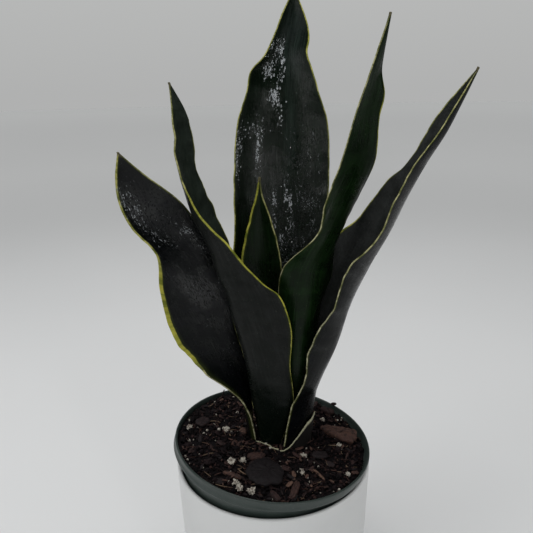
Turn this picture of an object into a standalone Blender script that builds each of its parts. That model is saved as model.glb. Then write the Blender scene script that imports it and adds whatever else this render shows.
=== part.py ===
"""Potted snake plant: six channelled leaves on a short crown, in potting mix, in a soft
nursery pot that leans inside a plain white cover pot. Metres, +Z up. The origin is the
centre of the cover pot's flat base, and the viewer's side is -Y."""

from math import cos, pi, radians, sin

import bmesh
import bpy
from mathutils import Vector
from mathutils.noise import noise

MM = 0.001
GAP = 0.3 * MM  # clearance between pieces that touch

# Nursery pot, measured along its own axis from the rim down
RIM_RADIUS = 55 * MM
POT_DEPTH = 97 * MM
POT_TAPER = 0.16  # wall radius lost per unit of depth
POT_WALL = 1.2 * MM
POT_FLOOR = 1.6 * MM
LIP_DEPTH = 5 * MM
LIP_SLOPE = 1.5 * MM  # the lip's inner face slopes from this far above its lower edge to this far below
LIP_STEP = 2.2 * MM  # the wall under the lip stands this far inside it
LEAN = radians(5.8)  # towards +X, so the rim is lower on that side
DRAIN_RADIUS = 5 * MM
DRAIN_COUNT = 4
DRAIN_INSET = 8 * MM  # from the inside of the wall to a hole's centre

# Cover pot
COVER_WALL = 2.2 * MM
COVER_FLOOR = 5 * MM
COVER_FOOT_ROUND = 3 * MM
COVER_TAPER = 0.03  # radius lost per unit of height, from the mouth down

# Potting mix and crown
MIX_DROP = 3.5 * MM  # mix surface below the nursery rim
MIX_MOUND = 1.5 * MM
POCKET_CENTRE = (5 * MM, 4 * MM)
POCKET_HALF = (24 * MM, 20 * MM)
LEAF_SEAT = 3 * MM  # leaf bases end this far below the mix surface
CROWN_HEIGHT = 26 * MM

# Leaves
PLANT_HEIGHT = 241 * MM  # highest leaf tip above the mix, along the pot's axis
DRAWN_HEIGHT = 241  # the height, in mm, that the leaf stations below are drawn at
DRAWN_SEAT = 3  # and the depth, in mm, of their lowest stations
LEAF_THICK = 3.2 * MM  # at the foot of the midrib
TIP_THICK = 1.4 * MM
MARGIN_THICK = 1.1 * MM
NEEDLE_HALF = 0.45 * MM
MOST_OFF_CENTRE = 0.45  # how far the midrib may sit to one side, as a share of the half width
LEAF_ROWS = 26
LEAF_COLUMNS = 9

ROUND_STEPS = 64

# Each leaf: stations from foot to tip, in mm from the middle of the mix surface, along the
# nursery pot's own axes. A station is (left margin, midrib, right margin), as the leaf is
# seen from the front, and the last one is the tip alone.
LEAVES = {
    "leaf_back_tall": [
        ((-6, 12, -3), (2, 18, -3), (12, 12, -3)),
        ((-18, 12, 31), (0, 18, 30), (15, 13, 33)),
        ((-26, 13, 61), (-3, 19, 61), (18, 15, 64)),
        ((-29, 14, 88), (-5, 21, 88), (20, 16, 91)),
        ((-30.3, 16, 118), (-6, 24, 118), (19, 16, 121)),
        ((-32.6, 18, 149), (-8, 27, 148), (17, 18, 150)),
        ((-32.6, 21, 172), (-9, 30, 174), (14, 21, 175)),
        ((-29, 25.5, 190), (-11, 33, 194), (7, 25, 194)),
        ((-28, 28, 199), (-11.5, 35, 202), (3.4, 27.5, 202)),
        ((-21.8, 31, 207), (-12, 37, 210), (0.2, 30, 210)),
        ((-17, 35, 219), (-11, 39, 221), (0.7, 33, 219)),
        ((-14, 38, 229), (-10, 41, 230), (-3, 38, 230)),
        ((-9, 42, 241),),
    ],
    "leaf_new_centre": [
        ((-4, 6, -3), (0, 10, -3), (4, 7, -3)),
        ((-9, 6, 26), (-2, 10, 25), (3, 6, 27)),
        ((-14, 5, 48), (-5, 10, 47), (3, 5, 50)),
        ((-22, 3, 84), (-11, 9, 83), (-1, 3, 86)),
        ((-25, 2, 106), (-14, 7, 105), (-5, 2, 108)),
        ((-22, 3, 130), (-17, 6, 129), (-12, 2, 129)),
        ((-20, 3, 140), (-19, 4, 140), (-17, 3, 140)),
        ((-19, 3, 149),),
    ],
    "leaf_right_tall": [
        ((5, 3, -3), (10, 3, -3), (14, 8, -3)),
        ((2, 1, 25), (12, 0, 25), (16, 7, 25)),
        ((0, 0, 45), (12, -3, 48), (18, 6, 44)),
        ((-3, -1, 81), (10, -5, 83), (19, 6, 80)),
        ((-4, -4, 104), (11, -3, 106), (23, 8, 102)),
        ((11, -3, 122), (18, 0, 122), (24, 10, 118)),
        ((15, 0, 141), (25, 5, 141), (31, 13, 137)),
        ((20, 1, 160), (31, 9, 161), (39, 15, 159)),
        ((25, 4, 185), (32, 11, 187), (38.6, 15, 183)),
        ((27.3, 5, 194), (33, 11, 196), (39.4, 14.5, 193)),
        ((30, 6, 206), (34, 11, 205), (36, 14, 205)),
        ((36, 10, 230),),
    ],
    "leaf_far_right": [
        ((6, -7, -3), (17, -1, -3), (20, 11, -3)),
        ((8, -9, 27), (19, 0, 26), (21, 12, 25)),
        ((13, -11, 45), (22, 0, 42), (19, 12, 46)),
        ((14, -12, 66), (28, 1, 63), (14.5, 10, 68)),
        ((24, -12, 91), (33, 2, 87), (20, 14, 92)),
        ((28, -12, 110), (40, 3, 107), (23, 17, 116)),
        ((40, -11, 125), (47, 4, 125), (36, 16, 131)),
        ((46, -11, 144), (53, 5, 142), (46, 15, 149)),
        ((53, -9, 162), (61, 5, 163), (57, 12, 164)),
        ((64, -3, 178), (70, 5, 183), (65, 8, 185)),
        ((80, 5, 209),),
    ],
    "leaf_left_tall": [
        ((-6, 2, -3), (-3, -3, -3), (4, -3, -3)),
        ((-13, 0, 28), (-11, -7, 30), (9, -6, 28)),
        ((-19, -2, 55), (-18, -10, 57), (5, -8, 52)),
        ((-24, -3, 75), (-26, -11, 79), (3.4, -10, 74)),
        ((-28, -3, 90), (-31, -11, 93), (-4.2, -14, 93)),
        ((-29.2, -2, 98), (-35, -10.6, 101), (-13.5, -15.8, 100)),
        ((-31, 0, 111), (-40, -10, 113), (-28, -19, 115)),
        ((-42, 1, 134), (-49, -9, 131), (-48, -19, 136)),
        ((-51, 1, 153), (-56, -6, 154), (-58, -15, 156)),
        ((-53, 0, 167), (-58, -5, 167), (-60, -11, 169)),
        ((-56, -2, 177), (-59, -5, 178), (-62, -8, 179)),
        ((-64, -5, 190),),
    ],
    "leaf_left_broad": [
        ((-8, -2, -3), (-12, 4, -3), (-10, 10, -3)),
        ((-18, -7, 27), (-17, 4, 26), (-15, 8, 27)),
        ((-40, -12, 47), (-23, 3, 45), (-17, 5.5, 42)),
        ((-56, -16, 68), (-33, 0, 68), (-25, 3, 64)),
        ((-63, -18, 92), (-43, -3, 87), (-31, 1, 90)),
        ((-65, -21, 112), (-54, -7, 107), (-40, 0.5, 112)),
        ((-76, -23, 124), (-65, -11, 121), (-50, -3, 127)),
        ((-82, -24, 136), (-72, -16, 135), (-58, -11, 138)),
        ((-83, -26, 148), (-78, -21, 147), (-71, -20, 149)),
        ((-82, -26, 159),),
    ],
}

# Dry sheath round the foot of the clump: (x, y, height above the mix) along its top edge, in
# mm, drawn round leaves of this thickness
DRAWN_THICK = 3.2 * MM
SHEATH = [
    (-9.2, -4.9, 3), (-6.1, -5.5, 2.8), (-2.7, -7.2, 2.8), (1.2, -10.2, 2.8), (5, -11.9, 2.8), (7.9, -10.2, 3.2),
    (10.7, -8, 5.4), (14, -6.9, 10.5), (17, -5.1, 15.4), (19.6, -2.6, 18), (21.3, 0.5, 19), (22.3, 3.9, 19),
]
SHEATH_THICK = 1.0 * MM
SHEATH_STEPS = 34

# Loose bits on the mix, drawn for a pot of this rim radius in mm, and spread and sized with
# the pot: name, (x, y), length, width, thickness in mm, turn in degrees
DRAWN_RADIUS = 55
BARK = [
    ("bark_chip_round", (-4, -31), 20, 20, 4.0, 10),
    ("bark_slab_right", (39, 9), 22, 10, 4.0, -20),
    ("bark_chip_front", (-9, -18), 10, 5, 2.4, 12),
    ("bark_stick_front", (11, -41), 13, 3.6, 3.0, 75),
    ("bark_stick_rim", (1, -47), 8, 3.2, 2.6, 120),
    ("bark_stick_left", (-21, -34), 11, 2.4, 2.0, -22),
    ("bark_chip_left", (-41, 10), 9, 7, 2.4, 40),
    ("bark_chip_back", (35, 34), 9, 5, 3.0, -30),
    ("bark_chip_dark", (26, -12), 9, 6, 2.2, 5),
    ("twig_right", (24, -27), 10, 1.4, 1.2, -55),
]
PERLITE = [  # (x, y), diameter, in mm
    ((-22, -24), 3.6), ((-16, -22), 2.8), ((-17, -43), 3.4), ((-11, -45), 3.4),
    ((15, -28), 3.2), ((17, -14), 2.6), ((38, -2), 2.4), ((40, -26), 2.4),
    ((-48, 5), 3.0), ((-27, 4), 3.2), ((31, 23), 2.4), ((-19, -39), 2.8),
]


def clear_scene():
    for obj in list(bpy.data.objects):
        bpy.data.objects.remove(obj)


def material(name, colour, roughness):
    made = bpy.data.materials.new(name)
    made.use_nodes = True
    shader = made.node_tree.nodes["Principled BSDF"]
    shader.inputs["Base Color"].default_value = (*colour, 1)
    shader.inputs["Roughness"].default_value = roughness
    return made


def add_object(name, mesh_builder, finish, parent=None):
    """Turns a bmesh into a smooth-shaded object with its faces pointing out."""
    bmesh.ops.recalc_face_normals(mesh_builder, faces=mesh_builder.faces)
    mesh = bpy.data.meshes.new(name)
    mesh_builder.to_mesh(mesh)
    mesh_builder.free()
    mesh.shade_smooth()
    mesh.set_sharp_from_angle(angle=radians(40))
    mesh.materials.append(finish)
    obj = bpy.data.objects.new(name, mesh)
    bpy.context.scene.collection.objects.link(obj)
    obj.parent = parent
    return obj


def skin(rings, ring_closed=True, caps=True, loop=False):
    """Joins rings of equal length with quads. caps closes both ends, loop joins last to first."""
    built = bmesh.new()
    verts = [[built.verts.new(point) for point in ring] for ring in rings]
    count = len(verts[0])
    pairs = list(zip(verts, verts[1:]))
    if loop:
        pairs.append((verts[-1], verts[0]))
    for low, high in pairs:
        for i in range(count if ring_closed else count - 1):
            j = (i + 1) % count
            built.faces.new((low[i], low[j], high[j], high[i]))
    if caps:
        built.faces.new(verts[0][::-1])
        built.faces.new(verts[-1])
    return built


def turned_solid(profile, steps=ROUND_STEPS):
    """A profile of (radius, height), from one flat end to the other, turned about Z."""
    rings = []
    for r, z in profile:
        ring = []
        for step in range(steps):
            angle = 2 * pi * step / steps
            ring.append((r * cos(angle), r * sin(angle), z))
        rings.append(ring)
    return skin(rings)


def cut(target, cutter):
    """Takes the cutter out of the target with a live Boolean."""
    cutter.hide_render = True
    cutter.display_type = "WIRE"
    boolean = target.modifiers.new("cut_" + cutter.name, "BOOLEAN")
    boolean.object = cutter
    boolean.operation = "DIFFERENCE"
    boolean.solver = "EXACT"


# ---- pots -------------------------------------------------------------------------------


def wall_radius(depth):
    """Outer radius of the nursery pot's wall, below its lip."""
    return RIM_RADIUS - LIP_STEP - (depth * POT_TAPER)


def lean_point(radius, depth, side):
    """(x, z) of a point on the leaning pot's wall, from its rim centre. side is +1 or -1."""
    x = side * radius * cos(LEAN) - depth * sin(LEAN)
    z = -side * radius * sin(LEAN) - depth * cos(LEAN)
    return x, z


def cover_sizes():
    """(mouth radius, height, height of the nursery rim centre) of the cover pot.

    The lip's low side sits on the cover pot's edge, its base clears the floor, and its wall
    clears the tapering inside at the mouth and at the foot."""
    lip_under = lean_point(RIM_RADIUS, LIP_DEPTH, 1)[1]
    mouth = lip_under - GAP
    wall_start = RIM_RADIUS - LIP_STEP
    depth = (wall_start * sin(LEAN) - mouth) / (cos(LEAN) + POT_TAPER * sin(LEAN))
    foot_x, foot_z = lean_point(wall_radius(POT_DEPTH), POT_DEPTH, -1)
    inner = max(
        -lean_point(wall_radius(depth), depth, -1)[0],
        lean_point(wall_start, LIP_DEPTH, 1)[0],
        COVER_TAPER * (mouth - foot_z) - foot_x,
    )
    base = lean_point(wall_radius(POT_DEPTH), POT_DEPTH, 1)[1]
    rim_height = COVER_FLOOR + GAP - base
    return inner + GAP, rim_height + mouth, rim_height


def make_cover_pot(finish):
    inner, height, _ = cover_sizes()
    outer = inner + COVER_WALL
    edge = COVER_WALL / 2
    foot = COVER_FOOT_ROUND
    foot_outer = outer - COVER_TAPER * (height - edge)
    floor_inner = inner - COVER_TAPER * (height - edge - COVER_FLOOR)
    profile = [(foot_outer - foot, 0)]
    for step in range(1, 5):
        angle = (pi / 2) * step / 4
        profile.append((foot_outer - foot + foot * sin(angle), foot - foot * cos(angle)))
    profile.append((outer, height - edge))
    for step in range(1, 6):
        angle = pi * step / 6
        profile.append((outer - edge + edge * cos(angle), height - edge + edge * sin(angle)))
    profile.append((inner, height - edge))
    profile.append((floor_inner, COVER_FLOOR))
    return add_object("cover_pot", turned_solid(profile), finish)


def make_nursery_pot(finish, frame):
    wall_start = RIM_RADIUS - LIP_STEP
    profile = [
        (RIM_RADIUS - POT_WALL, -0.2 * MM),
        (RIM_RADIUS - POT_WALL / 2, 0),
        (RIM_RADIUS - 0.1 * MM, -0.3 * MM),
        (RIM_RADIUS, -1.2 * MM),
        (RIM_RADIUS - 0.2 * MM, -LIP_DEPTH + 0.4 * MM),
        (RIM_RADIUS - 0.6 * MM, -LIP_DEPTH),
        (wall_radius(LIP_DEPTH), -LIP_DEPTH - 0.5 * MM),
        (wall_radius(POT_DEPTH), -POT_DEPTH),
    ]
    floor = -POT_DEPTH + POT_FLOOR
    inside = [
        (wall_radius(POT_DEPTH) - POT_WALL, floor),
        (wall_radius(LIP_DEPTH) - POT_WALL, -LIP_DEPTH - LIP_SLOPE),
        (RIM_RADIUS - POT_WALL - 0.2 * MM, -LIP_DEPTH + LIP_SLOPE),
    ]
    rings = []
    for r, z in inside + profile:
        rings.append([
            (r * cos(2 * pi * step / ROUND_STEPS), r * sin(2 * pi * step / ROUND_STEPS), z)
            for step in range(ROUND_STEPS)
        ])
    pot = add_object("nursery_pot", skin(rings), finish, frame)
    reach = wall_radius(POT_DEPTH) - POT_WALL - DRAIN_INSET
    for index in range(DRAIN_COUNT):
        angle = pi / 4 + 2 * pi * index / DRAIN_COUNT
        x, y = reach * cos(angle), reach * sin(angle)
        hole = turned_solid([(DRAIN_RADIUS, -POT_DEPTH - POT_FLOOR), (DRAIN_RADIUS, floor + POT_FLOOR)], 20)
        bmesh.ops.translate(hole, vec=(x, y, 0), verts=hole.verts)
        cut(pot, add_object("cutter_drain_" + str(index + 1), hole, finish, frame))
    return pot


# ---- potting mix and crown --------------------------------------------------------------


def mix_radius():
    """Radius of the mix at its surface, inside the nursery pot's lip."""
    return wall_radius(LIP_DEPTH) - POT_WALL - GAP


def mix_top(x, y):
    """Height of the mix surface at (x, y), along the nursery pot's axis, from its rim."""
    share = (x * x + y * y) / mix_radius() ** 2
    return -MIX_DROP + MIX_MOUND * (1 - min(share, 1))


def pocket(half_x, half_y, low, high, steps=40):
    """An upright elliptic block at the clump's place."""
    rings = []
    for z in (low, high):
        rings.append([
            (POCKET_CENTRE[0] + half_x * cos(2 * pi * i / steps),
             POCKET_CENTRE[1] + half_y * sin(2 * pi * i / steps), z)
            for i in range(steps)
        ])
    return skin(rings)


def seat_height():
    """Height that the leaf bases stand at, from the nursery rim's centre."""
    return -MIX_DROP - LEAF_SEAT


def make_mix(finish, frame):
    floor = -POT_DEPTH + POT_FLOOR + GAP
    radius = mix_radius()
    profile = [(wall_radius(POT_DEPTH) - POT_WALL - GAP, floor)]
    profile.append((radius, -LIP_DEPTH - LIP_SLOPE))
    for share in (1.0, 0.85, 0.65, 0.4, 0.15):
        profile.append((radius * share, mix_top(radius * share, 0)))
    mix = add_object("potting_mix", turned_solid(profile), finish, frame)
    low = seat_height() - GAP - CROWN_HEIGHT - GAP
    hole = pocket(*POCKET_HALF, low, MIX_MOUND + MIX_DROP)
    cut(mix, add_object("cutter_pocket", hole, finish, frame))
    return mix


def make_crown(finish, frame):
    """The short rhizome that the leaves stand on, buried in the mix."""
    top = seat_height() - GAP
    rings = []
    for share, drop in ((0.55, 1.0), (0.85, 0.8), (1.0, 0.45), (1.0, 0.12), (0.96, 0.0)):
        ring = []
        for step in range(32):
            angle = 2 * pi * step / 32
            ring.append((
                POCKET_CENTRE[0] + (POCKET_HALF[0] - GAP) * share * cos(angle),
                POCKET_CENTRE[1] + (POCKET_HALF[1] - GAP) * share * sin(angle),
                top - CROWN_HEIGHT * drop,
            ))
        rings.append(ring)
    return add_object("rhizome_crown", skin(rings), finish, frame)


# ---- leaves -----------------------------------------------------------------------------


def station_point(point):
    """A drawn station point in metres, from the nursery rim's centre."""
    x, y, z = point
    rise = PLANT_HEIGHT / (DRAWN_HEIGHT * MM) if z > 0 else LEAF_SEAT / (DRAWN_SEAT * MM)
    return Vector((x * MM, y * MM, z * MM * rise - MIX_DROP))


def knots_of(points):
    """Cumulative distance along the points, from 0 to 1."""
    knots = [0.0]
    for a, b in zip(points, points[1:]):
        knots.append(knots[-1] + (b - a).length)
    return [knot / knots[-1] for knot in knots]


def along(points, knots, t):
    """A smooth curve through the points, read at t."""
    last = len(points) - 1
    i = max(k for k in range(last) if knots[k] <= t or k == 0)

    def slope(k):
        low, high = max(k - 1, 0), min(k + 1, last)
        return (points[high] - points[low]) / (knots[high] - knots[low])

    span = knots[i + 1] - knots[i]
    s = (t - knots[i]) / span
    a, b = points[i], points[i + 1]
    m, n = slope(i) * span, slope(i + 1) * span
    return (
        a * (2 * s**3 - 3 * s**2 + 1) + m * (s**3 - 2 * s**2 + s)
        + b * (3 * s**2 - 2 * s**3) + n * (s**3 - s**2)
    )


def across_curve(left, rib, right, v):
    """A parabola from margin to margin through the midrib, read at v from -1 to 1 (0 is the midrib)."""
    to_left, to_right = (rib - left).length, (right - rib).length
    middle = (to_left - to_right) / max(to_left + to_right, NEEDLE_HALF)
    middle = max(-MOST_OFF_CENTRE, min(MOST_OFF_CENTRE, middle))
    bow = ((left + right) / 2 - rib + (right - left) / 2 * middle) / (1 - middle * middle)
    u = v + middle * (1 - v * v)
    return (left + right) / 2 + (right - left) / 2 * u - bow * (1 - u * u)


def leaf_rows(stations):
    """Rows of points across the leaf, foot to tip: each row bows from margin to midrib."""
    full = [station * 3 if len(station) == 1 else station for station in stations]
    rails = [[station_point(station[k]) for station in full] for k in range(3)]
    knots = knots_of(rails[1])
    rows = []
    for row in range(LEAF_ROWS):
        t = row / (LEAF_ROWS - 1)
        left, rib, right = (along(rail, knots, t) for rail in rails)
        if (right - left).length < 2 * NEEDLE_HALF:
            left, right = rib - across * NEEDLE_HALF, rib + across * NEEDLE_HALF
        across = (right - left).normalized()
        row_points = []
        for column in range(LEAF_COLUMNS):
            row_points.append(across_curve(left, rib, right, 2 * column / (LEAF_COLUMNS - 1) - 1))
        rows.append(row_points)
    return rows


def leaf_thickness(u, t):
    """Thickness at u across (-1 to 1) and t along (0 to 1) the leaf."""
    rib = LEAF_THICK + (TIP_THICK - LEAF_THICK) * t
    return MARGIN_THICK + (rib - MARGIN_THICK) * (1 - u * u)


def leaf_solid(rows):
    """Gives the rows thickness, half to each side."""
    rings = []
    for r, row in enumerate(rows):
        below, above = rows[max(r - 1, 0)], rows[min(r + 1, len(rows) - 1)]
        inner, outer = [], []
        for c, point in enumerate(row):
            across = row[min(c + 1, len(row) - 1)] - row[max(c - 1, 0)]
            normal = across.cross(above[c] - below[c]).normalized()
            if r == 0:
                normal = Vector((normal.x, normal.y, 0)).normalized()
            thick = leaf_thickness(2 * c / (len(row) - 1) - 1, r / (len(rows) - 1)) / 2
            inner.append(point + normal * thick)
            outer.append(point - normal * thick)
        rings.append(inner + outer[::-1])
    return skin(rings)


def make_sheath(finish, frame):
    """A low, torn skin wrapped round the front of the clump."""
    edge = [Vector(point) * MM for point in SHEATH]
    knots = knots_of(edge)
    stand_off = (LEAF_THICK - DRAWN_THICK) / 2
    rings = []
    for step in range(SHEATH_STEPS):
        t = step / (SHEATH_STEPS - 1)
        point = along(edge, knots, t)
        ahead = along(edge, knots, min(t + 0.02, 1)) - along(edge, knots, max(t - 0.02, 0))
        outward = Vector((ahead.y, -ahead.x, 0)).normalized()
        point += outward * stand_off
        side = outward * SHEATH_THICK / 2
        top = point.z - MIX_DROP
        ring = []
        for share, flip in ((0, -1), (0.5, -1), (1, -1), (1, 1), (0.5, 1), (0, 1)):
            z = seat_height() + (top - seat_height()) * share
            ring.append((point.x + flip * side.x, point.y + flip * side.y, z))
        rings.append(ring)
    return add_object("basal_sheath", skin(rings), finish, frame)


# ---- loose bits -------------------------------------------------------------------------


def chip(length, width, thick, seed):
    """An irregular flat flake, its underside at z = 0."""
    rings = []
    steps = 14
    for share, z in ((0.80, 0), (0.96, 0.25), (1.0, 0.6), (0.86, 0.93), (0.5, 1.0)):
        ring = []
        for step in range(steps):
            angle = 2 * pi * step / steps
            rough = 1 + 0.16 * noise(Vector((cos(angle) * 1.3, sin(angle) * 1.3, seed)))
            square = (abs(cos(angle)) ** 4 + abs(sin(angle)) ** 4) ** -0.25
            x = cos(angle) * square * rough * share * length / 2
            y = sin(angle) * square * rough * share * width / 2
            lift = z * (1 + 0.12 * noise(Vector((cos(angle), sin(angle), seed + 9)))) if z else 0
            ring.append((x, y, lift * thick))
        rings.append(ring)
    return skin(rings)


def grain(diameter, seed):
    """A lumpy perlite grain, its underside near z = 0."""
    built = bmesh.new()
    bmesh.ops.create_icosphere(built, subdivisions=2, radius=diameter / 2)
    for vert in built.verts:
        way = vert.co.normalized()
        vert.co *= 1 + 0.18 * noise(way * 1.7 + Vector((seed, 0, 0)))
    low = min(vert.co.z for vert in built.verts)
    bmesh.ops.translate(built, vec=(0, 0, -low), verts=built.verts)
    return built


def off_pocket(x, y):
    """The place, moved straight out from the clump to the pocket's edge if it lies over the pocket."""
    from_x, from_y = x - POCKET_CENTRE[0], y - POCKET_CENTRE[1]
    share = ((from_x / POCKET_HALF[0]) ** 2 + (from_y / POCKET_HALF[1]) ** 2) ** 0.5
    move = max(1, 1 / share)
    return POCKET_CENTRE[0] + from_x * move, POCKET_CENTRE[1] + from_y * move


def rest_on_mix(obj, x, y, reach, turn=0.0):
    """Lays a loose bit on the mounded mix, tipped with its slope."""
    radius = (x * x + y * y) ** 0.5
    slope = 2 * MIX_MOUND * radius / mix_radius() ** 2
    bulge = MIX_MOUND * (reach / mix_radius()) ** 2
    obj.location = (x, y, mix_top(x, y) + GAP + bulge + slope * slope * reach)
    tip = Vector((y, -x, 0)).normalized() * -slope
    obj.rotation_euler = (tip.x, tip.y, turn)


def make_loose_bits(bark, perlite, frame):
    unit = RIM_RADIUS / DRAWN_RADIUS
    for seed, (name, (x, y), length, width, thick, turn) in enumerate(BARK):
        obj = add_object(name, chip(length * unit, width * unit, thick * unit, seed), bark, frame)
        rest_on_mix(obj, *off_pocket(x * unit, y * unit), length * unit * 0.6, radians(turn))
    for seed, ((x, y), diameter) in enumerate(PERLITE):
        name = "perlite_" + str(seed + 1).zfill(2)
        obj = add_object(name, grain(diameter * unit, seed), perlite, frame)
        rest_on_mix(obj, *off_pocket(x * unit, y * unit), diameter * unit * 0.5)


def main():
    clear_scene()
    white = material("white_glaze", (0.85, 0.85, 0.84), 0.35)
    plastic = material("nursery_plastic", (0.10, 0.14, 0.12), 0.5)
    mix = material("potting_mix", (0.03, 0.02, 0.018), 0.95)
    crown = material("rhizome", (0.45, 0.30, 0.14), 0.7)
    leaf = material("leaf", (0.03, 0.07, 0.035), 0.3)
    sheath = material("sheath", (0.30, 0.32, 0.14), 0.6)
    bark = material("bark", (0.16, 0.07, 0.05), 0.85)
    perlite = material("perlite", (0.80, 0.78, 0.74), 0.9)

    frame = bpy.data.objects.new("planted_pot", None)
    bpy.context.scene.collection.objects.link(frame)
    frame.location = (0, 0, cover_sizes()[2])
    frame.rotation_euler = (0, LEAN, 0)

    make_cover_pot(white)
    make_nursery_pot(plastic, frame)
    make_mix(mix, frame)
    make_crown(crown, frame)
    for name, stations in LEAVES.items():
        add_object(name, leaf_solid(leaf_rows(stations)), leaf, frame)
    make_sheath(sheath, frame)
    make_loose_bits(bark, perlite, frame)


main()
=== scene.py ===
"""Looks of the potted snake plant: wet, channelled, yellow-edged leaves, crumbly potting mix
with bark and perlite, a soft nursery pot and a plain white cover pot. Lengths that are named
or listed in mm are multiplied by MM where they are used."""

from math import cos, exp, pi, radians, sin

import bmesh
import bpy
import numpy as np
from mathutils import Matrix, Vector
from mathutils.noise import fractal, noise


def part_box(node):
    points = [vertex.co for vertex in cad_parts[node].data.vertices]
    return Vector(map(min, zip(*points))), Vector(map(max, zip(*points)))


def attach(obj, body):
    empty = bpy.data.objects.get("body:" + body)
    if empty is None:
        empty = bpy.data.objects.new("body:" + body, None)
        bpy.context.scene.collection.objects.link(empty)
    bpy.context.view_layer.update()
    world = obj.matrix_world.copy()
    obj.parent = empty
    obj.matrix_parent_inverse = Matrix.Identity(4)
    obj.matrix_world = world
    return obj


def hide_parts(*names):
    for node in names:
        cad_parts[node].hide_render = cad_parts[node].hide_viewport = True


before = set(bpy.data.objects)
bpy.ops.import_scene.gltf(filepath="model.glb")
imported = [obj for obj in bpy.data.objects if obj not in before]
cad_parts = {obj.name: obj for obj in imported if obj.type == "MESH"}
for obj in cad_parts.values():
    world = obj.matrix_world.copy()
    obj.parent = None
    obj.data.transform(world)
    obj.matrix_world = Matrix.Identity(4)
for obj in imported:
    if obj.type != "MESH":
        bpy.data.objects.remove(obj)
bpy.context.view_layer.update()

MM = 0.001
BODY = "root"

# ---- sizes shared with the CAD ----
RIM_RADIUS = 55
POT_DEPTH = 97
POT_TAPER = 0.16
POT_WALL = 1.2
POT_FLOOR = 1.6
LIP_DEPTH = 5
LIP_STEP = 2.2
LEAN = radians(5.8)
DRAIN_RADIUS = 5
DRAIN_COUNT = 4
COVER_WALL = 2.2
COVER_FLOOR = 5
COVER_FOOT_ROUND = 3
COVER_TAPER = 0.03
MIX_DROP = 3.5
MIX_MOUND = 1.5
LEAF_THICK = 3.2
TIP_THICK = 1.4
MARGIN_THICK = 0.9
NEEDLE_HALF = 0.4
MOST_OFF_CENTRE = 0.45

RIM_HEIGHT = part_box("nursery_pot")[1].z / MM - RIM_RADIUS * sin(LEAN)
PLANTED = Matrix.Translation((0, 0, RIM_HEIGHT * MM)) @ Matrix.Rotation(LEAN, 4, "Y")

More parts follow.
